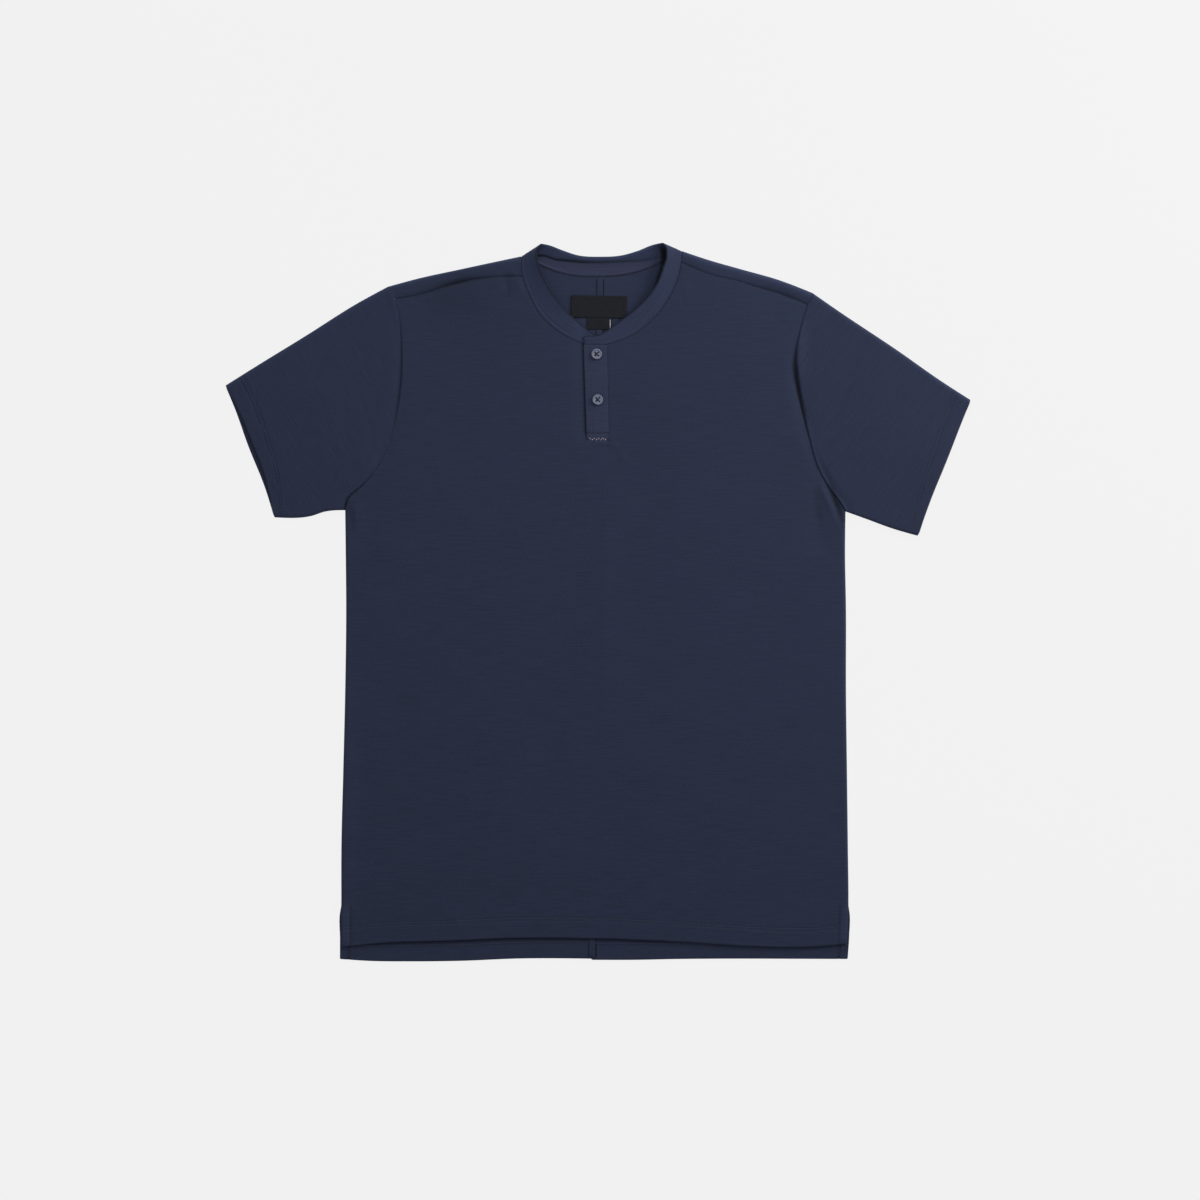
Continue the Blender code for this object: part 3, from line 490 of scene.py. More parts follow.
class Line:
    """A line through runs of points: smooth along a run, with a corner between two runs."""

    STEPS = 12

    def __init__(self, *runs):
        spans = [self.smooth(np.array(run, dtype=float)) for run in runs]
        self.points = np.concatenate([spans[0]] + [span[1:] for span in spans[1:]])
        self.shares = arc_lengths(self.points)
        self.length = self.shares[-1]
        self.shares /= self.length
        ends = np.cumsum([len(span) - 1 for span in spans])
        self.corners = self.shares[ends[:-1]]

    @classmethod
    def smooth(cls, run):
        """A cubic through the run's points, its slopes weighed by the spans on each side."""
        if len(run) == 2:
            return np.linspace(run[0], run[1], cls.STEPS + 1)
        spans = np.linalg.norm(np.diff(run, axis=0), axis=1)[:, None]
        speeds = np.diff(run, axis=0) / spans
        inner = (speeds[:-1] * spans[1:] + speeds[1:] * spans[:-1]) / (spans[:-1] + spans[1:])
        first = 1.5 * speeds[:1] - 0.5 * inner[:1]
        last = 1.5 * speeds[-1:] - 0.5 * inner[-1:]
        slopes = np.concatenate([first, inner, last])
        s = (np.arange(cls.STEPS) / cls.STEPS)[:, None]
        line = []
        for start, end, span, a, b in zip(run, run[1:], spans, slopes, slopes[1:]):
            line.append(
                (2 * s**3 - 3 * s**2 + 1) * start
                + (s**3 - 2 * s**2 + s) * span * a
                + (3 * s**2 - 2 * s**3) * end
                + (s**3 - s**2) * span * b
            )
        return np.concatenate(line + [run[-1:]])

    def at(self, shares):
        """The points at these shares of the line's length."""
        columns = [np.interp(shares, self.shares, column) for column in self.points.T]
        return np.stack(columns, axis=-1)

    def distance(self, plan):
        """How far each plan point is from the line, and the share of the line nearest to it."""
        samples = np.linspace(0.0, 1.0, 101)
        line = self.at(samples)
        nearest = np.linalg.norm(plan[..., None, :] - line, axis=-1).argmin(axis=-1)
        best, share = np.full(nearest.shape, np.inf), np.zeros(nearest.shape)
        for step in (-1, 0):
            start = np.clip(nearest + step, 0, 99)
            a, span = line[start], line[start + 1] - line[start]
            on = ((plan - a) * span).sum(axis=-1) / (span**2).sum(axis=-1)
            on = np.clip(on, 0.0, 1.0)
            gap = np.linalg.norm(plan - a - on[..., None] * span, axis=-1)
            share = np.where(gap < best, samples[start] + 0.01 * on, share)
            best = np.minimum(gap, best)
        return best, share


def run(table, side, backwards=False):
    """One side's points of a table, as a list of equal-width rows."""
    width = len(table[0]) // 2
    rows = [row[side * width:(side + 1) * width] for row in table]
    return rows[::-1] if backwards else rows


def read(table, place, column):
    """A table's column at a place in its first one."""
    return np.interp(place, [row[0] for row in table], [row[column] for row in table])


def smoothstep(value):
    """A soft step from 0 to 1."""
    value = np.clip(value, 0.0, 1.0)
    return value * value * (3.0 - 2.0 * value)


def beside(points, gap):
    """A line's points moved sideways, to the right of the way that it runs."""
    ahead = np.gradient(points, axis=0)
    ahead /= np.linalg.norm(ahead, axis=1)[:, None]
    return points + gap * np.column_stack([ahead[:, 1], -ahead[:, 0]])


def moved(line, gap):
    """A copy of a line, moved sideways."""
    copy = Line(line.points[:2])
    copy.points, copy.shares, copy.length = beside(line.points, gap), line.shares, line.length
    return copy


ARMHOLES = [Line(run(ARMHOLE, side)) for side in (RIGHT, LEFT)]


def slot_edge(level, side):
    """X of the placket slot's edge at a level."""
    foot, head = SLOT_FOOT[side], FRONT_NECK[0][2 * side]
    return np.interp(level, (SLOT_BASE, FRONT_NECK[0][2 * side + 1]), (foot, head))


def under_band(x, y):
    """How far the right front sinks where the upper band of the placket lies over it."""
    away = slot_edge(y, RIGHT) - x
    near = 1.0 - smoothstep(away / DROP_REACH)
    started = smoothstep((y - SLOT_BASE) / DROP_START)
    return UNDER_DROP * near * started * (away > -0.3)


def cloth_top(plan):
    """Height of the upper layer's outer face at plan points, from the folds and the valleys."""
    x, y = plan[..., 0], plan[..., 1]
    height = np.full(x.shape, CLOTH_TOP)
    for x0, y0, x1, y1, half_width, rise in FOLDS:
        away, _ = Line(((x0, y0), (x1, y1))).distance(plan)
        height += dip(away, rise, half_width)
    for side, armhole in enumerate(ARMHOLES):
        away, share = armhole.distance(plan)
        height -= armhole_valley(share, away, side)
    return height - under_band(x, y)


def armhole_valley(share, away, side):
    """Depth of the broad valley along an armhole, at a share of it and a distance."""
    return dip(away, read(ARMHOLE_VALLEY, share, 1 + side), VALLEY_HALF_WIDTH)


def valley_fill(share, away, side, piece):
    """How far the full piece beside an armhole's seam stands up out of the valley."""
    body = smoothstep((share - BODY_FULL_FROM[side]) / 0.12 + 0.5)
    full = body if piece == "body" else 1.0 - body
    risen = 1.0 - dip(away, 1.0, FILL_STEP)
    return VALLEY_FILL * full * armhole_valley(share, away, side) * risen


def creases(plan):
    """Height that the fine creases add, each fading towards its ends."""
    height = np.zeros(plan.shape[:-1])
    for points, half_width, rise in CREASES:
        line = Line(points)
        low = line.points.min(axis=0) - 4 * half_width
        high = line.points.max(axis=0) + 4 * half_width
        near = np.all((plan > low) & (plan < high), axis=-1)
        if near.any():
            away, share = line.distance(plan[near])
            fade = np.sin(math.pi * np.clip(share, 0.02, 0.98)) ** 0.7
            height[near] += dip(away, rise * fade, half_width)
    return height


def painted_light_and_shade(plan):
    """How much paler the painted light and shade patches make the cloth at plan points."""
    lift = np.zeros(plan.shape[:-1])
    for x, y, half_width, half_height, amount in LIGHT_AND_SHADE_PATCHES:
        lift += amount * np.exp(-(((plan[..., 0] - x) / half_width) ** 2)
                                - ((plan[..., 1] - y) / half_height) ** 2)
    return lift


def neck_shadow(x, y):
    """How dark it is in the deep end of the neck's opening, as the depth of a hollow."""
    edge = read(NECK_SHADOW, y, 1)
    return HOLLOW_FULL * smoothstep((x - edge + 1.0) / 2.0) * (y > NECK_SHADOW[0][0])


def armhole_pinch(share, away, side, piece):
    """How deep a piece is pinched beside an armhole's seam, at a share of it and a distance."""
    first = 1 + 3 * side
    half_width = read(ARMHOLE_PINCH, share, first + 1 + ("body", "sleeve").index(piece))
    return dip(away, read(ARMHOLE_PINCH, share, first), half_width)


def shoulder_sink(share, away, side, half_width):
    """How deep the cloth sinks at the shoulder's seam."""
    return dip(away, read(SHOULDER_SINK, share, 1 + side), half_width)


def patch(bottom, top, outer, inner, across, along):
    """Plan points of a four-sided panel that meets its four edge lines exactly."""
    v = along[:, None, None]
    u = across[..., None]
    ends = outer.at(along)[:, None], inner.at(along)[:, None]
    corners = [line.at(np.array([share])) for line in (outer, inner) for share in (0.0, 1.0)]
    straight = (1 - u) * ((1 - v) * corners[0] + v * corners[1])
    straight = straight + u * ((1 - v) * corners[2] + v * corners[3])
    between_ends = (1 - u) * ends[0] + u * ends[1]
    between_rows = (1 - v) * bottom.at(across) + v * top.at(across)
    return between_ends + between_rows - straight


def rounded(distance):
    """Share of its height that a rounded edge has reached at a distance from it."""
    return np.sqrt(1.0 - (1.0 - np.clip(distance / ROLL, 0.0, 1.0)) ** 2)


def roll_steps(gap=0.0):
    """Distances from a rounded edge at which its points lie, from the seam to the flat."""
    start = math.asin(0.5 * gap / SEAM_LEVEL)
    angles = [start] + [math.radians(angle) for angle in ROLL_ANGLES]
    return [ROLL * (1 - math.cos(angle)) for angle in angles]


def spaced(stops, pitches, length):
    """Shares of a line from stop to stop, with steps of about each gap's pitch."""
    if len(pitches) != len(stops) - 1 or sorted(stops) != list(stops):
        raise ValueError("a panel's rows are out of order")
    line = [stops[0]]
    for start, end, pitch in zip(stops, stops[1:], pitches):
        count = max(1, round((end - start) * length / pitch))
        line.extend(np.linspace(start, end, count + 1)[1:])
    return np.array(line)


def shares_across(lengths, near, columns, fine, pitch=2.0):
    """Each row's shares: fine steps at both edges, columns of a pitch, then even columns."""
    rows = []
    for length in lengths:
        far = [length - step for step in NEAR_SEAM]
        close = near[-1] + pitch * np.arange(fine)
        flat = np.linspace(near[-1] + pitch * fine, far[0], columns + 1)
        rows.append(np.concatenate([near[:-1], close, flat, far[1:]]) / length)
    return np.array(rows)


def dip(distance, depth, half_width=1.3):
    """A soft hollow or swell, such as where the cloth turns down to a seam or a stitch row."""
    return depth * np.exp(-(distance / half_width) ** 2)


def wobble(*values):
    """An uneven swell between -1 and 1 that depends on place alone."""
    total = 0.0
    for number, value in enumerate(values):
        total = total + np.sin(value) + 0.6 * np.sin(1.93 * value + 1.3 + number)
    return total / (1.6 * len(values))


# ---- meshes ----------------------------------------------------------------------------------


class Cloth:
    """The outer points of one piece of cloth, in grids that are welded where they meet."""

    def __init__(self):
        self.points, self.faces, self.values = [], [], []
        self.count = 0

    def add(self, grid, wall, rim, grain=None, ring=False, inside=0.0, hollow=0.0, lift=0.0,
            warm=0.0):
        """Add a grid. wall is its thickness, rim how round its edge is, grain its knit's place.

        hollow is how deep a point lies in a crease, groove or seam, and darkens the cloth there as
        painted shade; inside is painted shadow added to the hollow on the inner face only; lift is
        how much paler the cloth is, from the band's and placket's own shade and from painted
        highlight and shade; and warm how far it is of the warmer shade.
        """
        rows, columns, _ = grid.shape
        index = np.arange(rows * columns).reshape(rows, columns) + self.count
        if ring:
            index = np.concatenate([index, index[:, :1]], axis=1)
        self.faces.append(np.stack(
            [index[:-1, :-1], index[:-1, 1:], index[1:, 1:], index[1:, :-1]], axis=-1
        ).reshape(-1, 4))
        self.points.append(grid.reshape(-1, 3))
        grain = grid[..., :2] if grain is None else grain
        looks = (wall, rim, inside, grain[..., 0], grain[..., 1], hollow, lift, warm)
        self.values.append(np.stack(
            [np.broadcast_to(value, (rows, columns)).ravel() for value in looks], axis=-1))
        self.count += rows * columns

    def welded(self):
        """Points, faces and values with shared points joined."""
        points = np.concatenate(self.points)
        keys = np.round(points / WELD).astype(np.int64)
        _, first, place = np.unique(keys, axis=0, return_index=True, return_inverse=True)
        faces = place.reshape(-1)[np.concatenate(self.faces)]
        return points[first], faces, np.concatenate(self.values)[first]


def unit(vectors):
    return vectors / np.maximum(np.linalg.norm(vectors, axis=-1, keepdims=True), 1e-12)


def point_normals(points, faces):
    """Normals of the points, from the faces round each."""
    a, b, c, d = (points[faces[:, corner]] for corner in range(4))
    crossed = np.cross(c - a, d - b)
    normals = np.zeros_like(points)
    for corner in range(4):
        np.add.at(normals, faces[:, corner], crossed)
    return unit(normals)


def edge_pairs(faces):
    """Each edge of the sheet's border, in the direction of its face."""
    pairs = np.concatenate([faces[:, [corner, (corner + 1) % 4]] for corner in range(4)])
    pairs = pairs[pairs[:, 0] != pairs[:, 1]]
    size = int(faces.max()) + 1
    forward = pairs[:, 0] * size + pairs[:, 1]
    backward = pairs[:, 1] * size + pairs[:, 0]
    return pairs[~np.isin(forward, backward)]


def thicken(cloth):
    """A closed shell: the outer face, the inner face and a rounded rim between them."""
    points, faces, values = cloth.welded()
    walls, rims, inside, looks = values[:, 0], values[:, 1], values[:, 2], values[:, 3:]
    # The inner face's hollow also takes inside, the painted shadow that falls only there.
    inner_looks = looks.copy()
    inner_looks[:, 2] += inside
    normals = point_normals(points, faces)
    inner = points - normals * walls[:, None]
    border = edge_pairs(faces)
    ahead, behind = dict(border.tolist()), dict(border[:, ::-1].tolist())
    edge = sorted(ahead)
    tangent = unit(np.array([points[ahead[i]] - points[behind[i]] for i in edge]))
    outward = np.cross(tangent, normals[edge])
    middle, half = (points[edge] + inner[edge]) / 2, (points[edge] - inner[edge]) / 2
    reach = outward * (rims[edge] * walls[edge] / 2)[:, None]
    count = len(points)
    layers, made = [edge], [points, inner]
    for step in range(1, RIM_STEPS):
        angle = math.pi * step / RIM_STEPS
        layers.append([2 * count + (step - 1) * len(edge) + n for n in range(len(edge))])
        made.append(middle + half * math.cos(angle) + reach * math.sin(angle))
    layers.append([count + i for i in edge])
    place = {i: n for n, i in enumerate(edge)}
    rim_faces = []
    for a, b in border.tolist():
        for near, far in zip(layers, layers[1:]):
            rim_faces.append((near[place[b]], near[place[a]], far[place[a]], far[place[b]]))
    outer_faces = faces.tolist()
    inner_faces = (faces[:, ::-1] + count).tolist()
    all_faces = [tuple(dict.fromkeys(face)) for face in outer_faces + inner_faces + rim_faces]
    looks = np.concatenate([looks, inner_looks] + [looks[edge]] * (RIM_STEPS - 1))
    made = np.concatenate(made)
    made[:, 2] = np.maximum(made[:, 2], 0.0)
    return made, [f for f in all_faces if len(f) > 2], looks


def add_mesh(name, points, faces, material, looks=None):
    """An object of these points, in millimetres.

    looks holds the place in the knit, which becomes the UV map, and the hollow (painted shade),
    lift and warmth.
    """
    mesh = bpy.data.meshes.new(name)
    mesh.from_pydata((np.asarray(points) * MM).tolist(), [], faces)
    if looks is not None:
        corners = np.empty(len(mesh.loops), dtype=np.int32)
        mesh.loops.foreach_get("vertex_index", corners)
        layer = mesh.uv_layers.new(name="grain")
        layer.data.foreach_set("uv", (looks[corners, :2] * MM).astype(np.float32).ravel())
        shades = mesh.attributes.new("shade", "FLOAT_VECTOR", "POINT")
        shades.data.foreach_set("vector", looks[:, 2:].astype(np.float32).ravel())
    mesh.materials.append(material)
    made = bpy.data.objects.new(name, mesh)
    bpy.context.scene.collection.objects.link(made)
    mesh.shade_smooth()
    return made


def lay(name, cloth, material):
    """Add a piece of cloth to the shirt."""
    points, faces, looks = thicken(cloth)
    made = add_mesh(name, points, faces, material, looks)
    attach(made, BODY)
    return made


def sew(name, cloth, node, material=None):
    made = lay(name, cloth, material or jersey_material())
    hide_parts(node)
    area = sheet_area(cloth)
    return made


def sheet_area(cloth):
    points, faces, *_ = cloth.welded()
    a, b, c, d = (points[faces[:, corner]] for corner in range(4))
    return float(np.linalg.norm(np.cross(c - a, d - b), axis=1).sum() / 2)


# ---- the body --------------------------------------------------------------------------------


def counts_of(stops, pitches, length):
    """How many steps of about each gap's pitch lie between the stops."""
    return [max(1, round((end - start) * length / pitch))
            for start, end, pitch in zip(stops, stops[1:], pitches)]


def front_lines(side):
    """The front's outer edge, from hem to shoulder, and its inner one, from hem to neck."""
    outer = Line(run(SIDE, side), run(ARMHOLE, side))
    foot = (SLOT_FOOT[side], SLOT_BASE)
    inner = Line((run(FRONT_HEM, side)[-1], foot), (foot, run(FRONT_NECK, side)[0]),
                 run(FRONT_NECK, side))
    return outer, inner


def front_stops(side):
    """Shares at which the front's rows have to lie, and the steps between them, in mm."""
    outer, inner = front_lines(side)
    slot, neck = inner.corners
    vent = (VENT_TOP - run(SIDE, side)[0][1]) / outer.length
    vents = [vent + reach / outer.length for reach in (-VENT_REACH, VENT_REACH)]
    armpit = [outer.corners[0] + step / outer.length for step in roll_steps()]
    stops = [0.0, HEM_END / inner.length] + vents + armpit
    stops += [slot, slot + DROP_START / inner.length, neck, 1.0 - 5.0 / inner.length, 1.0]
    pitches = [0.9, 3.0, 1.8, 3.7] + [99.0] * (len(armpit) - 1) + [3.7, 1.6, 2.6, 3.0, 0.8]
    return stops, pitches


def hem_wall(from_hem, in_vent=False):
    """The cloth's thickness: double in the hems."""
    turned = 1.0 - smoothstep((from_hem - HEM + HEM_STEP) / HEM_STEP)
    return np.where(in_vent, HEM_WALL, WALL + (HEM_WALL - WALL) * turned)


def curl_of_rows(levels, past_armpit):
    """How far each row's side edge curls: whole at the seam, less at the vent and armhole."""
    at_vent = smoothstep((levels - VENT_TOP + VENT_REACH) / (2 * VENT_REACH))
    at_armhole = rounded(np.maximum(past_armpit, 0.0))
    return (VENT_CURL + (1 - VENT_CURL) * at_vent) * (1.0 - at_armhole)


def beside_vents(level):
    """1 beside the vents, fading out over their tops."""
    return 1.0 - smoothstep((level - VENT_TOP + 4.0) / 6.0)


def in_vents(plan, from_side):
    """Where the cloth is turned in along a vent."""
    return (plan[..., 1] < VENT_TOP - VENT_REACH) & (from_side < VENT_HEM)


def hem_relief(from_edge, rows, groove, run_along):
    """A turned hem's face: grooves at its stitches, a soft swell between them, small puckers."""
    uneven = 1.0 + 0.35 * wobble(run_along / 5.3, run_along / 8.9 + 1.0)
    height = -sum(dip(from_edge - row, groove, 0.9) for row in rows) * uneven
    inside = smoothstep(from_edge / 3.0) * (1.0 - smoothstep((from_edge - rows[0] + 3.0) / 3.0))
    swell = 0.10 * wobble(run_along / 31.0, run_along / 47.0 + 2.0)
    beyond = dip(from_edge - rows[-1] - 2.5, 1.0, 2.2)
    return height + inside * swell + 0.07 * beyond * wobble(run_along / 4.1, run_along / 6.7)


def front_surface(side, along, across, sizes):
    """Outer points of the front at shares of its height and width, with distances to edges."""
    outer, inner = front_lines(side)
    ends = outer.at(along), inner.at(along)
    lengths = np.linalg.norm(ends[1] - ends[0], axis=1)[:, None]
    hem, shoulder = Line(run(FRONT_HEM, side)), Line(run(SHOULDER_SEAM, side))
    plan = patch(hem, shoulder, outer, inner, across, along)
    from_side, from_inner = across * lengths, (1.0 - across) * lengths
    from_hem = np.broadcast_to((along * inner.length)[:, None], across.shape)
    from_top = (1.0 - along)[:, None] * ((1 - across) * outer.length + across * inner.length)
    past_armpit = (along - outer.corners[0]) * outer.length
    groove, seam = sizes.groove / MM, sizes.seam_dip / MM
    ahead = np.gradient(ends[0], axis=0)
    upright = np.abs(ahead[:, 1:]) / np.linalg.norm(ahead, axis=1)[:, None]
    share = (past_armpit / ARMHOLES[side].length)[:, None]
    at_armhole = smoothstep((past_armpit + 3.0) / 9.0)[:, None]
    smooth = cloth_top(plan) + at_armhole * valley_fill(share, from_side * upright, side, "body")
    top = smooth + creases(plan)
    top = top + hem_relief(from_hem, HEM_ROWS, groove, plan[..., 0])
    beside_vent = beside_vents(plan[..., 1])
    strip = smoothstep(from_side / 1.5) * (1.0 - smoothstep((from_side - VENT_ROW + 2.2) / 1.6))
    strip = strip * beside_vent * smoothstep((from_hem - 1.0) / 4.0)
    top = top + 0.3 * strip - 2.4 * beside_vent * dip(from_side - VENT_ROW, groove, 1.2)
    above_slot = smoothstep((along - inner.corners[0]) * inner.length / 4.0)[:, None]
    beside_neck = smoothstep((along - inner.corners[1]) * inner.length / 3.0)[:, None]
    depth = (0.35 + 0.3 * beside_neck) if side == LEFT else 1.0 - 0.5 * beside_neck
    top = top - dip(from_top, 0.7 * seam) - depth * above_slot * dip(from_inner, seam)
    top = top - at_armhole * armhole_pinch(share, from_side * upright, side, "body")
    top = top - shoulder_sink(across, from_top, side, 0.45 * SINK_HALF_WIDTH)
    # Painted shade: darker as far as the creases, grooves, pinches and sinks lie below the smooth
    # face.
    hollow = np.maximum(smooth - top, 0.0)
    # Painted shadow beside the upper band's free edge, on the right front under it.
    if side == RIGHT:
        lap = np.interp(plan[..., 1], (SLOT_BASE, LAP_LEVEL), (0.0, 1.4))
        dark = np.interp(plan[..., 1], (SLOT_BASE, 235.0), (1.6, 2.8)) * (1.0 - beside_neck)
        hollow = hollow + above_slot * dark * dip(np.maximum(from_inner - lap, 0.0), 1.0, 1.4)
    top = np.maximum(top, LOWEST)
    curl = curl_of_rows(ends[0][:, 1], past_armpit)[:, None]
    top = top - curl * (top - SEAM_LEVEL) * (1.0 - rounded(from_side))
    # Painted highlight on the raised strip beside each vent, and the painted light and shade
    # patches.
    lift = VENT_HIGHLIGHT * strip + painted_light_and_shade(plan)
    # Painted highlight along the left side's rolled edge, the side that faces the lamps.
    if side == LEFT:
        lift = lift + 0.4 * RIM_HIGHLIGHT * curl * dip(from_side, 1.0, 2.6)
    return np.dstack([plan, top]), from_side, from_hem, hollow, lift


def front_cloth(sizes):
    """The front: two halves, and the strip between them from the hem to the placket's foot."""
    stops, pitches = front_stops(RIGHT)
    counts = counts_of(stops, pitches, front_lines(RIGHT)[1].length)
    cloth, inner_edges = Cloth(), []
    for side in (RIGHT, LEFT):
        outer, inner = front_lines(side)
        stops, _ = front_stops(side)
        along = np.concatenate(
            [np.linspace(start, end, count + 1)[:-1]
             for start, end, count in zip(stops, stops[1:], counts)] + [[1.0]])
        lengths = np.linalg.norm(outer.at(along) - inner.at(along), axis=1)
        across = shares_across(lengths, roll_steps(SEAM_SLIT), 52, fine=17)
        grid, from_side, from_hem, hollow, lift = front_surface(side, along, across, sizes)
        wall = hem_wall(from_hem, in_vents(grid, from_side))
        rim = np.full(grid.shape[:2], SEAM_RIM)
        rim[grid[..., 1] < VENT_TOP] = 1.0
        if side == LEFT:
            grid, wall, rim, hollow, lift = (
                part[:, ::-1] for part in (grid, wall, rim, hollow, lift))
        cloth.add(grid, wall, rim, hollow=hollow, lift=lift)
        column = -1 if side == RIGHT else 0
        inner_edges.append((grid[:, column], wall[:, column], hollow[:, column, None]))
    below = sum(counts[:-GAPS_ABOVE_SLOT_BASE]) + 1
    share = np.linspace(0.0, 1.0, 9)[None, :, None]
    (right, wall, hollow), (left, _, _) = inner_edges
    strip = (1 - share) * right[:below, None] + share * left[:below, None]
    strip[:, 1:-1, 2] += creases(strip[:, 1:-1, :2]) - (
        (1 - share[:, 1:-1, 0]) * creases(right[:below, None, :2])
        + share[:, 1:-1, 0] * creases(left[:below, None, :2]))
    rim = np.where(strip[..., 1] < VENT_TOP, 1.0, SEAM_RIM)
    cloth.add(strip, wall[:below, None], rim, hollow=hollow[:below])
    return cloth


def back_lines(side):
    """The lower layer's outer edge, up to the shoulder's fold, and its inner one."""
    outer = Line(run(BACK_VENT, side), run(SIDE[1:], side), run(ARMHOLE, side),
                 run(SHOULDER_END, side))
    half_gap = 0.5 * SEAM_SLIT * OUTWARD[side]
    centre = [(x + half_gap, y) for x, y in (run(BACK_HEM, side)[-1], run(BACK_NECK, side)[0])]
    return outer, Line(centre, centre[1:] + run(BACK_NECK, side)[1:])


def back_surface(side, along, across, sizes):
    """The lower layer's underside, with its thickness and distance from the hem."""
    outer, inner = back_lines(side)
    hem, fold = Line(run(BACK_HEM, side)), Line(run(SHOULDER_FOLD, side))
    ends = outer.at(along), inner.at(along)
    lengths = np.linalg.norm(ends[1] - ends[0], axis=1)[:, None]
    plan = patch(hem, fold, outer, inner, across, along)
    from_side, from_inner = across * lengths, (1.0 - across) * lengths
    from_hem = np.broadcast_to((along * inner.length)[:, None], across.shape)
    from_fold = ((1.0 - along) * inner.length)[:, None]
    past_armpit = (along - outer.corners[1]) * outer.length
    curl = curl_of_rows(ends[0][:, 1], past_armpit)[:, None]
    level = SEAM_LEVEL * (curl * (1.0 - rounded(from_side)) + 1.0 - rounded(from_fold))
    groove, seam = sizes.groove / MM, sizes.seam_dip / MM
    level = level + sum(dip(from_hem - row, groove + 0.08, 0.9) for row in HEM_ROWS)
    beside_vent = beside_vents(plan[..., 1])
    level = level + beside_vent * dip(from_side - VENT_ROW, groove + 0.08, 0.9)
    below_neck = 1.0 - smoothstep((along - inner.corners[0]) * inner.length / 3.0)[:, None]
    level = level + 0.8 * seam * below_neck * dip(from_inner, 1.0)
    level = level + 0.6 * seam * smoothstep(past_armpit / 12.0)[:, None] * dip(from_side, 1.0)
    wall = hem_wall(from_hem, in_vents(plan, from_side))
    wall = wall - 1.7 * beside_vent * dip(from_side - VENT_ROW, groove, 0.9)
    slack = (wobble(plan[..., 0] / 43.0, plan[..., 1] / 61.0 + 1.0)
             + 0.6 * wobble(plan[..., 0] / 17.0 + plan[..., 1] / 39.0))
    loose = smoothstep((from_side - 12.0) / 20.0) * smoothstep((from_hem - 30.0) / 20.0)
    level = level + 0.16 * (slack + 1.2) * loose * smoothstep((from_fold - 12.0) / 20.0)
    return np.dstack([plan, level]), wall, from_hem


def back_cloth(side, sizes):
    """One half of the back, over the shoulder's fold to the seam on the front."""
    outer, inner = back_lines(side)
    vent, armpit, _ = outer.corners
    vents = [vent + reach / outer.length for reach in (-VENT_REACH, VENT_REACH)]
    curl = [armpit + step / outer.length for step in roll_steps()]
    fold = [1.0 - step / inner.length for step in roll_steps()[::-1]]
    stops = [0.0, HEM_END / inner.length] + vents + curl + [inner.corners[0]] + fold
    pitches = ([0.9, 3.0, 1.8, 4.2] + [99.0] * (len(curl) - 1) + [4.2, 2.0]
               + [99.0] * (len(fold) - 1))
    along = spaced(stops, pitches, inner.length)
    lengths = np.linalg.norm(outer.at(along) - inner.at(along), axis=1)
    across = shares_across(lengths, roll_steps(SEAM_SLIT), 92, fine=6, pitch=1.2)
    under, wall, from_hem = back_surface(side, along, across, sizes)
    rim = np.where(under[..., 1] < VENT_TOP, 1.0, SEAM_RIM)
    beside_neck = smoothstep((along - inner.corners[0]) * inner.length / 3.0)[:, None]
    neck_edge = beside_neck * dip((1.0 - across) * lengths[:, None], 1.0, 0.9)
    vent_row = dip(across * lengths[:, None] - VENT_ROW, 1.8, 1.0)
    vent_row = vent_row * beside_vents(under[..., 1])
    shadow = neck_shadow(under[..., 0], under[..., 1])

    outer, inner = Line(run(SHOULDER_END, side, True)), Line(run(NECK_END, side, True))
    fold = Line(run(SHOULDER_FOLD, side))
    seam = moved(Line(run(SHOULDER_SEAM, side)), SEAM_SLIT * OUTWARD[side])
    steps = roll_steps()
    along = np.array([step / inner.length for step in steps]
                     + list(np.linspace(steps[-1] / inner.length, 1.0, 22)[1:]))
    plan = patch(fold, seam, outer, inner, np.repeat(across[-1:], len(along), axis=0), along)
    from_fold = (along * inner.length)[:, None]
    from_seam = ((1.0 - along) * inner.length)[:, None]
    smooth = cloth_top(plan)
    top = smooth + creases(plan) - dip(from_seam, sizes.seam_dip / MM)
    top = top - shoulder_sink(across[-1:], from_seam, side, SINK_HALF_WIDTH)
    from_end = across[-1:] * lengths[-1]
    top = top - armhole_pinch(1.0, from_end, side, "body")
    # Painted shade in the seam's dip and the shoulder's sink.
    hollow = np.maximum(smooth - top, 0.0) * rounded(from_fold)
    top = SEAM_LEVEL + (top - SEAM_LEVEL) * rounded(from_fold)
    over = np.dstack([plan, top])
    over[0] = under[-1]
    # Painted shade along the hem's stitch rows, the neck edge and the vent's stitch row.
    from_row = [np.abs(from_hem - row) for row in HEM_ROWS]
    grooves = sum(dip(away, 0.5, 0.9) for away in from_row) + neck_edge + vent_row
    # Painted highlight along the shoulder's fold at the outline, and the painted light and shade
    # patches.
    fold_highlight_and_patches = RIM_HIGHLIGHT * dip(from_fold, 1.0, 4.0) + painted_light_and_shade(plan)
    cloth = Cloth()
    turn = slice(None, None, -1) if side == RIGHT else slice(None)
    cloth.add(under[:, turn], wall[:, turn], rim[:, turn], inside=shadow[:, turn],
              hollow=grooves[:, turn])
    cloth.add(over[:, turn], WALL, SEAM_RIM, hollow=hollow[:, turn], lift=fold_highlight_and_patches[:, turn])
    return cloth


# ---- the sleeves -----------------------------------------------------------------------------


def sleeve_lines(side):
    head = Line(run(SHOULDER_END, side, True), run(ARMHOLE, side, True))
    armhole = moved(head, -SEAM_SLIT * OUTWARD[side])
    fold = Line([armhole.points[0]] + run(SLEEVE_FOLD, side)[1:])
    under = Line([armhole.points[-1]] + run(UNDERARM, side)[1:])
    cuff = Line(run(CUFF, side))
    shares = np.linspace(0, 1, 17)
    peek = np.sin(math.pi * shares)[:, None] * CUFF_PEEK[side] * np.array([OUTWARD[side], -0.3])
    return armhole, fold, under, cuff, Line(cuff.at(shares) + peek)


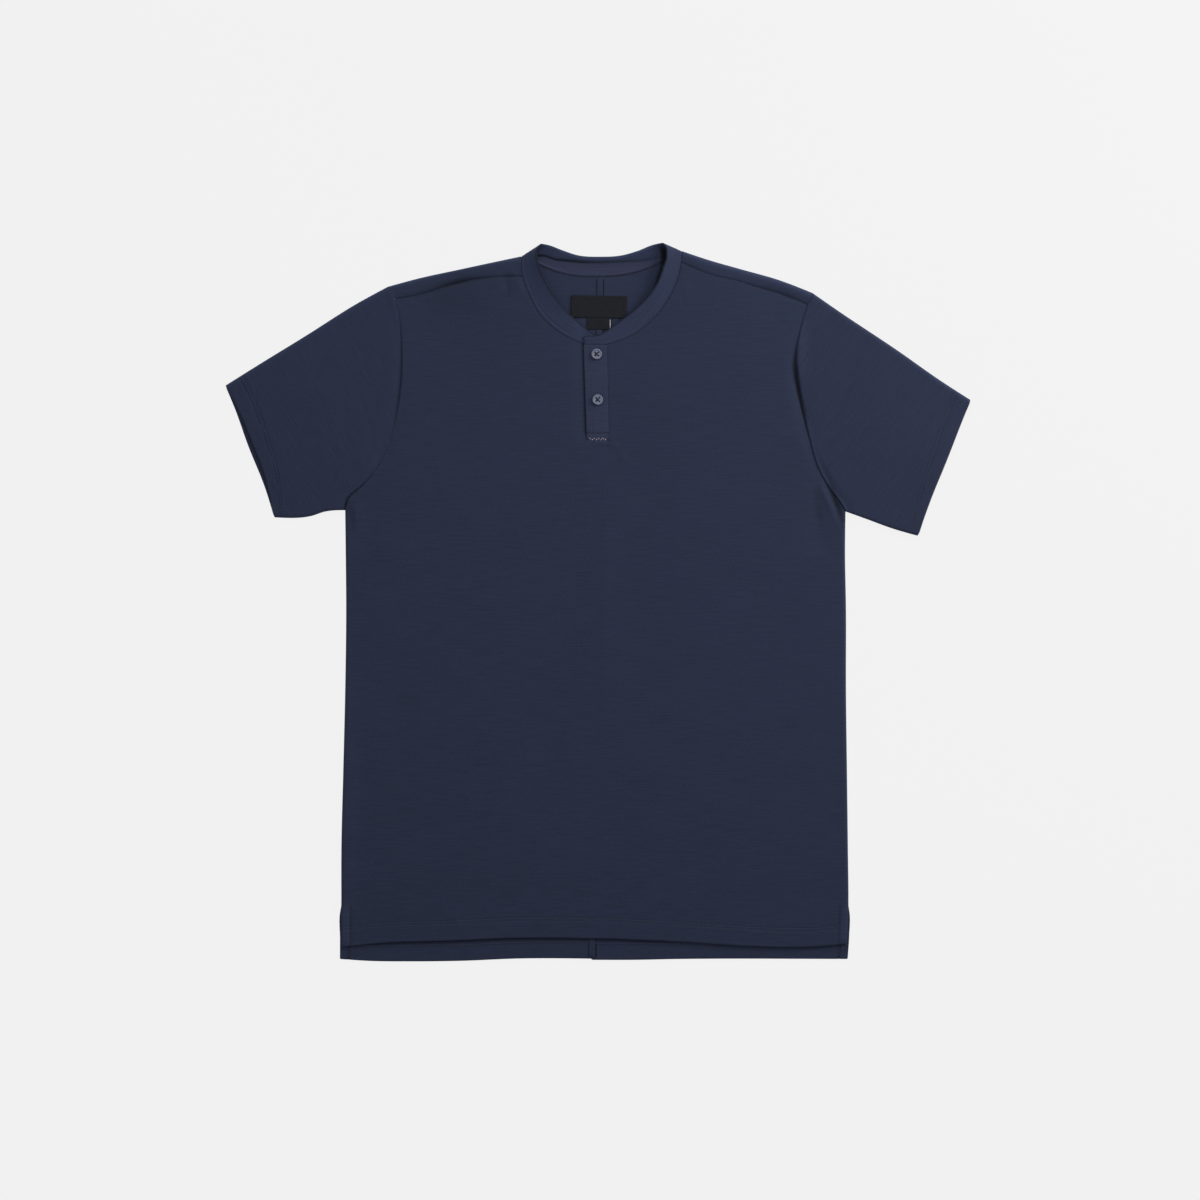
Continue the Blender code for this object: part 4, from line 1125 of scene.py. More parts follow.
def sleeve_surface(side, along, arcs, upper, sizes):
    """Points of a sleeve's upper or lower layer, with distances to its edges and its looks."""
    armhole, fold, under, cuff, back_cuff = sleeve_lines(side)
    length = Line(run(SLEEVE_FOLD, side)).length
    lengths = np.linalg.norm(under.at(along) - fold.at(along), axis=1)[:, None]
    lengths = np.where(along[:, None] <= 0.0, armhole.length, lengths)
    flat = (arcs - ROLL) * (lengths - 2 * ROLL) / (armhole.length - 2 * ROLL) + ROLL
    placed = np.where(arcs < ROLL, arcs, flat)
    placed = np.where(arcs > armhole.length - ROLL, lengths - armhole.length + arcs, placed)
    plan = patch(armhole, cuff if upper else back_cuff, fold, under, placed / lengths, along)
    from_fold = np.minimum(placed, lengths - placed)
    from_cuff = np.broadcast_to(((1.0 - along) * length)[:, None], placed.shape)
    from_head = (along * length)[:, None]
    groove, seam = 1.5 * sizes.groove / MM, sizes.seam_dip / MM
    if upper:
        share = (armhole.length - placed) / ARMHOLES[side].length
        smooth = cloth_top(plan) + valley_fill(share, from_head, side, "sleeve")
        top = smooth + creases(plan) + hem_relief(from_cuff, CUFF_ROWS, groove, placed)
        top = top - armhole_pinch(share, from_head, side, "sleeve")
        # Painted shade: darker as far as the pinch, creases and the cuff's grooves sink below the
        # smooth face.
        hollow = np.maximum(smooth - top, 0.0)
        top = np.maximum(top, LOWEST)
        level = SEAM_LEVEL + (top - SEAM_LEVEL) * rounded(from_fold)
    else:
        level = SEAM_LEVEL * (1.0 - rounded(from_fold)) + 0.6 * dip(from_head, seam)
        level = level + sum(dip(from_cuff - row, groove + 0.08, 0.9) for row in CUFF_ROWS)
        hollow = np.zeros(level.shape)
    # Painted highlight along the sleeve's folds at the outline, and the painted light and shade
    # patches.
    lift = painted_light_and_shade(plan) + 0.7 * RIM_HIGHLIGHT * dip(placed, 1.0, 3.0)
    return np.dstack([plan, level]), from_fold, from_cuff, hollow, lift


def sleeve_cloth(side, sizes):
    """A sleeve: flat rings from the armhole out to the cuff, with a fold above and below."""
    armhole = sleeve_lines(side)[0]
    length = Line(run(SLEEVE_FOLD, side)).length
    stops = [0.0, 2.0 / length, 5.0 / length, 18.0 / length, 1.0 - 23.5 / length, 1.0]
    along = spaced(stops, [0.25, 0.75, 1.7, 3.4, 0.9], length)
    steps = roll_steps()
    arcs = np.concatenate([steps[:-1], np.linspace(steps[-1], armhole.length - steps[-1], 72),
                           armhole.length - np.array(steps[-2::-1])])
    upper, from_fold, from_cuff, hollow, lift = sleeve_surface(side, along, arcs, True, sizes)
    lower, below_fold, _, under, pale = sleeve_surface(side, along, arcs, False, sizes)
    ring = np.concatenate([upper, lower[:, -2:0:-1]], axis=1)
    folds = np.concatenate([from_fold, below_fold[:, -2:0:-1]], axis=1)
    hollow = np.concatenate([hollow, under[:, -2:0:-1]], axis=1)
    lift = np.concatenate([lift, pale[:, -2:0:-1]], axis=1)
    wall = hem_wall(np.broadcast_to(from_cuff[:, :1], ring.shape[:2]))
    wall = np.minimum(wall, WALL + (HEM_WALL - WALL) * smoothstep((folds - 1.0) / 3.0))
    rim = np.broadcast_to(np.where(along > 0.5, 1.0, SEAM_RIM)[:, None], ring.shape[:2])
    tilt = math.atan2(*(np.array(SLEEVE_FOLD[-1]) - np.array(SLEEVE_FOLD[0]))
                      .reshape(2, 2)[side][::-1])
    turn = np.array([[math.cos(tilt), math.sin(tilt)], [-math.sin(tilt), math.cos(tilt)]])
    grain = (ring[..., :2] @ turn.T)[..., ::-1]
    if side == RIGHT:
        ring, wall, rim, grain, hollow, lift = (
            values[:, ::-1] for values in (ring, wall, rim, grain, hollow, lift))
    cloth = Cloth()
    cloth.add(ring, wall, rim, grain=grain, ring=True, hollow=hollow, lift=lift)
    return cloth


# ---- the collar and the placket --------------------------------------------------------------


def neck_runs(side):
    """The collar seam on one side: along the front, over the shoulder and along the back."""
    shares = np.linspace(0.0, 1.0, 56)
    front = Line(run(FRONT_NECK, side)).at(shares)
    front = np.column_stack([front, cloth_top(front)])
    line = Line(run(NECK_END, side))
    shares = np.concatenate([np.linspace(0.0, 0.8, 12), np.linspace(0.82, 1.0, 8)])
    over = line.at(shares)
    rise = rounded((1.0 - shares) * line.length)
    over = np.column_stack([over, SEAM_LEVEL + (cloth_top(over) - SEAM_LEVEL) * rise])
    line = Line(run(BACK_NECK, side, True))
    shares = np.concatenate([np.linspace(0.0, 0.04, 8), np.linspace(0.05, 1.0, 40)])
    under = np.column_stack([line.at(shares), SEAM_LEVEL * (1.0 - rounded(shares * line.length))])
    return front, over[1:], under[1:]


def collar_half(side):
    """Seam and edge points of half the collar, from its lapped end to the centre back."""
    front, over, under = neck_runs(side)
    edges = [Line(run(table, side)) for table in (BAND_LAP, BAND_FRONT, BAND_SIDE, BAND_BACK)]
    end_x, _, end_z = edges[0].points[0]
    lap = [(x, LAP_LEVEL, end_z) for x in np.linspace(end_x, front[0, 0], 15)[:-1]]
    seam, edge, last, behind = [], [], [], []
    for part, (points, line) in enumerate(
            zip([np.array(lap + [tuple(front[0])]), front[1:], over, under], edges)):
        shares = arc_lengths(np.array(last + list(points)))
        shares /= shares[-1]
        seam.extend(points)
        edge.extend(line.at(shares[len(last):]))
        behind.extend([max(0, part - 2) * share for share in shares[len(last):]])
        last = [points[-1]]
    return np.array(seam), np.array(edge), np.array(behind)


def collar_rows(shares):
    """The band's outer face, a row for each share of its height, and the way along the band."""
    (seam, edge, behind), (left_seam, left_edge, left_behind) = map(collar_half, (RIGHT, LEFT))
    seam = np.concatenate([seam, left_seam[-2::-1]])
    edge = np.concatenate([edge, left_edge[-2::-1]])
    behind = np.concatenate([behind, left_behind[-2::-1]])
    rise = edge - seam
    height = np.linalg.norm(rise, axis=1)
    clear = (2 * SEAM_SLIT / height)[:, None]
    rows = []
    for share in shares:
        row = seam + rise * (clear + (1 - clear) * share)
        row[:, 2] = seam[:, 2] + rise[:, 2] * share**BAND_FLARE
        rows.append(row)
    return np.array(rows), height, arc_lengths(seam), behind


def collar_surface(shares, sizes):
    """The same, with how deep each point lies in a groove or dip, and the normals inwards."""
    rows, height, length, behind = collar_rows(shares)
    from_seam = np.asarray(shares)[:, None] * height
    groove, seam = sizes.groove / MM, sizes.seam_dip / MM
    depth = dip(from_seam, seam) + dip(from_seam - COLLAR_ROW, 1.2 * groove, 0.8)
    soft = 0.10 * wobble(length / 13.0, length / 7.3 + 1.0) * np.sin(math.pi * from_seam / height)
    soft = soft * (behind == 0)
    ahead = np.gradient(rows, axis=1)
    upward = np.gradient(rows, axis=0) if len(shares) > 1 else np.zeros_like(rows)
    return rows, from_seam, depth - soft, height, length, behind, unit(np.cross(ahead, upward))


def collar_cloth(sizes):
    """The standing band, from its under end round the back to its upper end."""
    even = np.linspace(0.0, 1.0, BAND_ROWS)
    shares = np.sort(np.concatenate([even, even[:5] * 0.5 + 0.03, [0.97, 0.985]]))
    rows, from_seam, depth, _, length, behind, normals = collar_surface(shares, sizes)
    outer = rows + normals * depth[..., None]
    at_back = smoothstep(behind * 6.0) * np.ones(from_seam.shape)
    in_front = 1.0 - smoothstep(behind * 40.0)
    fold_x, fold_y, strength = np.array(BAND_FOLD).T
    below_fold = np.interp(rows[..., 0], fold_x, fold_y) - rows[..., 1]
    fold = at_back * np.interp(rows[..., 0], fold_x, strength) * dip(below_fold, 1.0, 1.2)
    # Painted shade along the band's inner edge and stitch groove at the front, and along the fold
    # and at the seam at the back.
    at_edge = smoothstep((shares[:, None] - 0.95) / 0.04)
    hollow = in_front * (0.4 * np.maximum(depth, 0.0) + 1.8 * at_edge) + 2.2 * fold
    hollow = hollow + at_back * dip(from_seam, 1.4, 0.9)
    shadow = at_back * neck_shadow(rows[..., 0], rows[..., 1])
    wall = BAND_WALL - 0.7 * fold - np.maximum(depth, 0.0) * (behind > 0)
    warm = at_back * smoothstep((below_fold - 0.8) / 1.6)
    lift = BAND_LIFT * (1.0 + warm * (1.3 * np.clip(below_fold / 7.0, 0.0, 1.0) - 0.5))
    # Painted highlight along the band's top edge at the back.
    lift = lift + 0.6 * at_back * smoothstep((shares[:, None] - 0.88) / 0.1)
    grain = np.dstack([np.broadcast_to(length, from_seam.shape), from_seam])
    cloth = Cloth()
    rim = np.broadcast_to(np.where(shares > 0.5, 1.0, 0.2)[:, None], wall.shape).copy()
    rim[:, [0, -1]] = 0.8
    cloth.add(outer[::-1], wall[::-1], rim[::-1], grain=grain[::-1], inside=shadow[::-1],
              hollow=hollow[::-1], lift=lift[::-1], warm=warm[::-1])
    return cloth


def placket_surface(upper, levels, share):
    """A placket band's outer face between its two edges."""
    if upper:
        start = np.interp(levels, (SLOT_BASE, LAP_LEVEL), (UPPER_EDGE_FOOT, UPPER_EDGE_HEAD))
        end = slot_edge(levels, LEFT) - SEAM_SLIT
        base = cloth_top(np.column_stack([slot_edge(levels, LEFT), levels]))
    else:
        start, end = slot_edge(levels, RIGHT) + SEAM_SLIT, np.full(levels.shape, UNDER_EDGE)
        base = np.full(levels.shape, CLOTH_TOP - UNDER_DROP)
    x = (1 - share) * start[:, None] + share * end[:, None]
    y = np.broadcast_to(levels[:, None], x.shape)
    z = base[:, None] + BAND_CROWN * (1 - (2 * share - 1) ** 2)
    return np.dstack([x, y, z])


def placket_cloth(upper, sizes):
    """A band of the placket, with the grooves of its edge stitching."""
    levels = np.concatenate([SLOT_BASE + 0.1 + np.linspace(0.0, 14.0, 18),
                             np.linspace(SLOT_BASE + 16.0, LAP_LEVEL - 0.1, 52)])
    share = np.sort(np.concatenate([np.linspace(0.0, 1.0, 19),
                                    [0.02, 0.05, 0.08, 0.92, 0.95, 0.98]]))[None]
    grid = placket_surface(upper, levels, share)
    smooth = grid[..., 2].copy()
    if upper:
        groove, seam = sizes.groove / MM, sizes.seam_dip / MM
        from_left = grid[..., 0] - grid[:, :1, 0]
        from_right = grid[:, -1:, 0] - grid[..., 0]
        top = grid[..., 2]
        top -= dip(from_right, 0.1 * seam) + dip(from_left - PLACKET_EDGE_ROW, groove, 0.8)
        for level in PLACKET_FOOT_ROWS:
            top -= dip(grid[..., 1] - level, 2.0 * groove, 0.8)
        for x, y in BUTTONS.values():
            away = np.hypot(grid[..., 0] - x, grid[..., 1] - y)
            top -= dip(away, 0.22, 6.5)
        top += 0.07 * wobble(grid[..., 1] / 6.1, grid[..., 1] / 9.7 + grid[..., 0] / 8.0)
    rim = np.full(grid.shape[:2], 0.3)
    rim[:, 0 if upper else -1] = 1.0
    # Painted shade in the stitch grooves, the foot rows and round the buttons.
    hollow = 1.4 * np.maximum(smooth - grid[..., 2], 0.0)
    cloth = Cloth()
    cloth.add(grid, BAND_WALL, rim, hollow=hollow, lift=PLACKET_LIFT, warm=PLACKET_WARMTH)
    return cloth


# ---- sewing ----------------------------------------------------------------------------------


def stitch_line(paths, sizes, material, name, wide=1.0, length=None,
                gap=None):
    """Rows of single stitches, joined in one mesh. A path is its points and their normals."""
    length = sizes.stitch / MM if length is None else length
    gap = sizes.stitch_gap / MM if gap is None else gap
    radius = 0.5 * sizes.thread / MM * wide
    rings = [(-0.5, 0.0, -0.9), (-0.38, 0.8, -0.2), (0.0, 1.0, 0.25), (0.38, 0.8, -0.2),
             (0.5, 0.0, -0.9)]
    sides = 5
    template = []
    for along, swell, lift in rings:
        for corner in range(sides if swell else 1):
            angle = 2 * math.pi * (corner + 0.5) / sides
            template.append((along * length, swell * radius * math.cos(angle),
                             (0.7 * swell * math.sin(angle) + lift) * radius))
    template = np.array(template)
    faces = []
    for corner in range(sides):
        after = (corner + 1) % sides
        faces.append((0, 1 + after, 1 + corner))
        for ring in range(2):
            a = 1 + ring * sides
            faces.append((a + corner, a + after, a + sides + after, a + sides + corner))
        last = 1 + 2 * sides
        faces.append((last + corner, last + after, last + sides))
    points, all_faces, count = [], [], 0
    for line, normals in paths:
        line, normals = np.asarray(line, float), np.asarray(normals, float)
        arcs = arc_lengths(line)
        places = np.arange(gap / 2 + length / 2, arcs[-1] - length / 2, length + gap)
        for place in places:
            ends = [[np.interp(place + reach, arcs, axis) for axis in line.T]
                    for reach in (-length / 2, 0.0, length / 2)]
            ahead = unit(np.array(ends[2]) - np.array(ends[0]))
            normal = np.array([np.interp(place, arcs, axis) for axis in normals.T])
            across = unit(np.cross(normal, ahead))
            normal = np.cross(ahead, across)
            points.append(np.array(ends[1]) + template @ np.array([ahead, across, normal]))
            all_faces.extend([tuple(count + corner for corner in face) for face in faces])
            count += len(template)
    made = add_mesh(name, np.concatenate(points), all_faces, material)
    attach(made, BODY)
    return made


def up(points, sign=1.0):
    return np.broadcast_to((0.0, 0.0, sign), points.shape)


def front_paths(sizes):
    """The front's double hem stitching, and its stitching along the vents."""
    paths, beside_vents = [], []
    for row in HEM_ROWS:
        halves = []
        for side in (RIGHT, LEFT):
            _, inner = front_lines(side)
            share = np.linspace(0.006, 1.0, 180)[None]
            along = np.array([row, row + 0.01]) / inner.length
            line = front_surface(side, along, np.repeat(share, 2, axis=0), sizes)[0]
            halves.append(line[0])
        whole = np.concatenate([halves[0], halves[1][::-1]])
        paths.append((whole, up(whole)))
    for side in (RIGHT, LEFT):
        outer, inner = front_lines(side)
        top = (VENT_TOP + 4.0 - run(SIDE, side)[0][1]) / outer.length
        along = np.linspace(2.0 / outer.length, top, 40)
        width = np.linalg.norm(outer.at(along) - inner.at(along), axis=1)[:, None]
        line = front_surface(side, along, VENT_ROW / width, sizes)[0]
        across = np.linspace(1.2, VENT_ROW, 8)[None] / width[-1]
        bar = front_surface(side, along[-2:], np.repeat(across, 2, axis=0), sizes)[0][1:]
        beside_vents += [(line[:, 0], up(line[:, 0])), (bar[0], up(bar[0]))]
    return paths, beside_vents


def back_paths(side, inside, sizes):
    """One half of the back's hem and vent stitching, on its inside or sunk in its underside."""
    outer, inner = back_lines(side)

    def face(along, across):
        line, wall, _ = back_surface(side, along, across, sizes)
        line[..., 2] = line[..., 2] + wall if inside else np.maximum(line[..., 2], SUNK_STITCHES)
        return line

    sign = 1.0 if inside else -1.0
    paths = []
    for row in HEM_ROWS:
        line = face(np.array([row / inner.length]), np.linspace(0.006, 0.995, 160)[None])[0]
        paths.append((line, up(line, sign)))
    top = (VENT_TOP + 4.0 - run(BACK_VENT, side)[0][1]) / outer.length
    along = np.linspace(2.0 / outer.length, top, 40)
    width = np.linalg.norm(outer.at(along) - inner.at(along), axis=1)[:, None]
    line = face(along, VENT_ROW / width)[:, 0]
    paths.append((line, up(line, sign)))
    return paths


def sleeve_paths(side, sizes):
    """The cuff's double stitching, on top and sunk in the underside."""
    armhole = sleeve_lines(side)[0]
    length = Line(run(SLEEVE_FOLD, side)).length
    arcs = np.linspace(2.0, armhole.length - 2.0, 150)
    paths = []
    for row in CUFF_ROWS:
        for upper in (True, False):
            line = sleeve_surface(side, np.array([1.0 - row / length]), arcs, upper, sizes)[0]
            if not upper:
                line[..., 2] = np.maximum(line[..., 2], SUNK_STITCHES)
            paths.append((line[0], up(line[0], 1.0 if upper else -1.0)))
    return paths


def collar_paths(sizes):
    """The topstitching on the band, just over its seam."""
    shares = np.linspace(0.0, 1.0, 60)
    rows, _, depth, height, _, _, inward = collar_surface(shares, sizes)
    outer = rows + inward * depth[..., None]
    place = np.minimum(COLLAR_ROW / height, 0.6) * (len(shares) - 1)
    low = np.floor(place).astype(int)
    blend = (place - low)[:, None]
    index = np.arange(len(height))
    line = (1 - blend) * outer[low, index] + blend * outer[low + 1, index]
    return [(line[2:-2], -inward[low, index][2:-2])]


def placket_paths():
    """Stitching along the placket's free edge, and across its foot."""
    levels = np.linspace(SLOT_BASE + 3.0, LAP_LEVEL - 1.0, 80)

    def at(x, y):
        line = placket_surface(True, np.atleast_1d(y).astype(float), np.array([[0.0, 1.0]]))
        share = (x - line[:, 0, 0]) / (line[:, 1, 0] - line[:, 0, 0])
        z = line[:, 0, 2] + BAND_CROWN * (1 - (2 * share - 1) ** 2)
        return np.column_stack([np.broadcast_to(x, share.shape), np.atleast_1d(y), z])

    edge_x = np.interp(levels, (SLOT_BASE, LAP_LEVEL), (UPPER_EDGE_FOOT, UPPER_EDGE_HEAD))
    edge = at(edge_x + PLACKET_EDGE_ROW, levels)
    edge[:, 2] -= 0.2
    across = np.linspace(UPPER_EDGE_FOOT + 1.2, SLOT_FOOT[LEFT] - 0.8, 20)
    line = at(across, np.full(20, PLACKET_FOOT_ROWS[1]))
    line[:, 2] -= 0.25
    return [(edge, up(edge))], [(line, up(line))]


def tack_paths():
    """A zigzag of tack stitches across the placket's foot."""
    x = np.linspace(UPPER_EDGE_FOOT + 2.0, SLOT_FOOT[LEFT] - 2.2, 9)
    y = PLACKET_FOOT_ROWS[0] + 0.9 + 1.4 * (-1.0) ** np.arange(9)
    level = placket_surface(True, np.array([170.0]), np.array([[0.5]]))[0, 0, 2]
    corners = np.column_stack([x, y, np.full(9, level - 0.02)])
    return [(np.linspace(a, b, 4), up(np.zeros((4, 3)))) for a, b in zip(corners, corners[1:])]


def seam_tape(sizes, material):
    """The pressed seam allowance down the inside of the back's centre."""
    pieces = []
    for side in (RIGHT, LEFT):
        outer_line, inner_line = back_lines(side)
        neck = inner_line.corners[0]
        levels = np.linspace(1.5 / inner_line.length, neck - 0.5 / inner_line.length, 190)
        width = np.linalg.norm(outer_line.at(levels) - inner_line.at(levels), axis=1)[:, None]
        steps = np.array([4.7, 4.1, 3.5, 3.3, 2.6, 1.2, 0.3, 0.0])[None]
        face, wall, _ = back_surface(side, levels, 1.0 - steps / width, sizes)
        clear_of_placket = smoothstep((face[..., 1] - LAP_LEVEL - 2.0) / 4.0)
        clear_of_placket = np.maximum(clear_of_placket, smoothstep((40.0 - face[..., 1]) / 30.0))
        under_labels = 1.0 - smoothstep((np.abs(face[..., 1] - 301.0) - 18.5) / 3.0)
        rise = (0.40 + 0.42 * clear_of_placket) * (1.0 - 0.8 * under_labels)
        rise = rise * (1 - np.clip((steps - 3.3) / 0.2, 0, 1))
        face[..., 2] += wall + 0.03 + rise - dip(steps, 0.2, 0.5)
        pieces.append(face[:, ::-1] if side == LEFT else face)
    grid = np.concatenate([pieces[0], pieces[1][:, 1:]], axis=1)
    # Painted shade along the tape's edges; its lift of 0.06 paints the raised tape paler as a
    # painted highlight.
    hollow = np.array([0.2, 0.7, 1.2, 0.3, 0.0, 0.0, 0.3, 0.5,
                       0.3, 0.0, 0.2, 2.2, 2.6, 2.4, 0.8])
    cloth = Cloth()
    cloth.add(grid, 0.3, 0.6, hollow=hollow, lift=0.06)
    return lay("centre_back_seam", cloth, material)


def neck_seam(material):
    """The sewn layers in the seam between the back's neck edge and the band."""
    rows = []
    for side in (RIGHT, LEFT):
        line = Line(run(BACK_NECK, side))
        shares = np.linspace(0.0, 0.985, 60)
        plan = line.at(shares)
        level = SEAM_LEVEL * (1.0 - rounded((1.0 - shares) * line.length)) + 0.6
        half = [np.column_stack([beside(plan, gap), level]) for gap in (-0.6, 0.0, 0.6)]
        half = np.array(half[::-1] if side == RIGHT else half)
        rows.append(half[:, ::-1] if side == RIGHT else half[:, 1:])
    grid = np.concatenate(rows, axis=1)
    cloth = Cloth()
    # A hollow of 1.8 darkens the whole strip: painted shade in the seam.
    cloth.add(grid, 0.4, 0.4, hollow=1.8)
    return lay("neck_seam", cloth, material)


# ---- materials -------------------------------------------------------------------------------


class Wiring:
    """Short calls that add and join the nodes of one material."""

    def __init__(self, name):
        self.material = bpy.data.materials.new(name)
        self.material.use_nodes = True
        self.nodes, self.links = self.material.node_tree.nodes, self.material.node_tree.links
        self.shader = self.nodes["Principled BSDF"]

    def node(self, kind, inputs=(), **settings):
        made = self.nodes.new(kind)
        for key, value in settings.items():
            setattr(made, key, value)
        for key, value in dict(inputs).items():
            if isinstance(value, bpy.types.NodeSocket):
                self.links.new(value, made.inputs[key])
            else:
                made.inputs[key].default_value = value
        return made

    def noise(self, place, scale, detail=2.0, roughness=0.5):
        """Noise stretched by a scale for each axis, in cycles a metre."""
        mapping = self.node("ShaderNodeMapping", {"Vector": place, "Scale": scale})
        return self.node("ShaderNodeTexNoise", {
            "Vector": mapping.outputs["Vector"], "Scale": 1.0, "Detail": detail,
            "Roughness": roughness}).outputs["Fac"]

    def spread(self, value, low, high, to_low=0.0, to_high=1.0):
        return self.node("ShaderNodeMapRange", {
            "Value": value, "From Min": low, "From Max": high, "To Min": to_low,
            "To Max": to_high}).outputs["Result"]

    def mix(self, share, first, second, blend="MIX"):
        made = self.node("ShaderNodeMix", data_type="RGBA", blend_type=blend)
        for socket, value in zip((made.inputs[0], made.inputs[6], made.inputs[7]),
                                 (share, first, second)):
            if isinstance(value, bpy.types.NodeSocket):
                self.links.new(value, socket)
            else:
                socket.default_value = value
        return made.outputs[2]

    def sums(self, operation, first, second):
        return self.node("ShaderNodeMath", {0: first, 1: second},
                         operation=operation).outputs["Value"]

    def finish(self, colour, height=None, strength=0.3, distance=0.0002, **values):
        if isinstance(colour, bpy.types.NodeSocket):
            self.links.new(colour, self.shader.inputs["Base Color"])
        else:
            self.shader.inputs["Base Color"].default_value = colour
        if height is not None:
            bump = self.node("ShaderNodeBump", {
                "Height": height, "Strength": strength, "Distance": distance})
            self.links.new(bump.outputs["Normal"], self.shader.inputs["Normal"])
        for key, value in values.items():
            self.shader.inputs[key.replace("_", " ")].default_value = value
        return self.material


def rgba(colour, factor=1.0):
    return (*[factor * channel for channel in colour], 1.0)


def jersey_material():
    """Fine heathered jersey: streaks along the courses, flecks, and the knit's small loops."""
    if "jersey_knit" in bpy.data.materials:
        return bpy.data.materials["jersey_knit"]
    colours = bpy.context.scene.shirt_colours
    wiring = Wiring("jersey_knit")
    place = wiring.node("ShaderNodeUVMap", uv_map="grain").outputs["UV"]
    streaks = wiring.noise(place, (38.0, 640.0, 1.0), detail=4.0, roughness=0.62)
    flecks = wiring.noise(place, (330.0, 1500.0, 1.0), detail=2.0)
    mottle = wiring.noise(place, (11.0, 26.0, 1.0), detail=3.0)
    warm = wiring.noise(place, (21.0, 300.0, 1.0), detail=3.0, roughness=0.6)
    colour = wiring.mix(wiring.spread(warm, 0.50, 0.72, 0.0, 0.55), rgba(colours.jersey),
                        rgba(colours.streak))
    shade = wiring.node("ShaderNodeAttribute", attribute_name="shade")
    parts = wiring.node("ShaderNodeSeparateXYZ", {"Vector": shade.outputs["Vector"]}).outputs
    colour = wiring.mix(parts["Z"], colour, wiring.mix(
        1.0, colour, (1.20, 1.04, 0.99, 1.0), blend="MULTIPLY"))
    tone = wiring.sums("ADD", wiring.spread(streaks, 0.3, 0.7, -0.11, 0.11),
                       wiring.spread(flecks, 0.3, 0.7, -0.10, 0.10))
    tone = wiring.sums("ADD", tone, wiring.spread(mottle, 0.3, 0.7, 0.975, 1.025))
    # Lift pales the colour: the band's and placket's own shade, painted highlights and painted
    # shade patches. Hollow darkens it as painted shade and shadow.
    tone = wiring.sums("MULTIPLY", tone, wiring.sums("ADD", parts["Y"], 1.0))
    tone = wiring.sums("MULTIPLY", tone, wiring.spread(
        parts["X"], 0.0, HOLLOW_FULL, 1.0, HOLLOW_SHADE))
    grey = wiring.node("ShaderNodeCombineColor", {"Red": tone, "Green": tone, "Blue": tone})
    colour = wiring.mix(1.0, colour, grey.outputs["Color"], blend="MULTIPLY")
    wales = wiring.node("ShaderNodeTexWave", {
        "Vector": wiring.node("ShaderNodeMapping", {
            "Vector": place, "Scale": (1.0, 0.25, 1.0)}).outputs["Vector"],
        "Scale": 225.0, "Distortion": 1.6, "Detail": 1.0, "Detail Scale": 2.0},
        bands_direction="X").outputs["Fac"]
    courses = wiring.node("ShaderNodeTexWave", {
        "Vector": place, "Scale": 310.0, "Distortion": 2.0, "Detail": 1.0},
        bands_direction="Y").outputs["Fac"]
    height = wiring.sums("ADD", wiring.sums("MULTIPLY", wales, courses),
                         wiring.spread(streaks, 0.3, 0.7, 0.0, 0.5))
    wiring.finish(colour, height, strength=0.35, distance=0.00012, Roughness=0.78,
                  Specular_IOR_Level=0.16, Sheen_Weight=0.15, Sheen_Roughness=0.45,
                  Sheen_Tint=(0.50, 0.60, 0.85, 1.0))
    return wiring.material


def thread_material(name, colour):
    """Twisted sewing thread with a low gloss."""
    if name in bpy.data.materials:
        return bpy.data.materials[name]
    wiring = Wiring(name)
    place = wiring.node("ShaderNodeTexCoord").outputs["Object"]
    plies = wiring.noise(place, (2600.0, 2600.0, 2600.0), detail=1.0)
    shade = wiring.mix(wiring.spread(plies, 0.35, 0.65), rgba(colour, 0.75), rgba(colour, 1.2))
    wiring.finish(shade, plies, strength=0.3, distance=0.0001, Roughness=0.55,
                  Sheen_Weight=0.1)
    return wiring.material


def button_material():
    """Clouded resin, its roughness and surface a little uneven."""
    colours = bpy.context.scene.shirt_colours
    wiring = Wiring("button_resin")
    place = wiring.node("ShaderNodeTexCoord").outputs["Object"]
    clouds = wiring.noise(place, (260.0, 420.0, 300.0), detail=3.0, roughness=0.6)
    shade = wiring.mix(wiring.spread(clouds, 0.35, 0.68), rgba(colours.button, 0.82),
                       rgba(colours.button, 1.18))
    wear = wiring.noise(place, (1500.0, 1500.0, 1500.0), detail=2.0)
    rough = wiring.spread(wear, 0.3, 0.7, 0.28, 0.46)
    wiring.links.new(rough, wiring.shader.inputs["Roughness"])
    wiring.finish(shade, wear, strength=0.06, distance=0.0001, Specular_IOR_Level=0.5)
    return wiring.material


def label_material():
    """Black damask label: fine warp and weft with a faint gloss."""
    if "label_weave" in bpy.data.materials:
        return bpy.data.materials["label_weave"]
    colours = bpy.context.scene.shirt_colours
    wiring = Wiring("label_weave")
    place = wiring.node("ShaderNodeTexCoord").outputs["Object"]
    weft = wiring.node("ShaderNodeTexWave", {"Vector": place, "Scale": 520.0},
                       bands_direction="Y").outputs["Fac"]
    warp = wiring.node("ShaderNodeTexWave", {"Vector": place, "Scale": 640.0},
                       bands_direction="X").outputs["Fac"]
    weave = wiring.sums("MULTIPLY", weft, warp)
    slub = wiring.noise(place, (160.0, 900.0, 1.0), detail=2.0)
    shade = wiring.mix(wiring.spread(slub, 0.35, 0.65), rgba(colours.label, 0.75),
                       rgba(colours.label, 1.15))
    wiring.finish(shade, weave, strength=0.25, distance=0.0001, Roughness=0.7,
                  Specular_IOR_Level=0.14, Sheen_Weight=0.03)
    return wiring.material


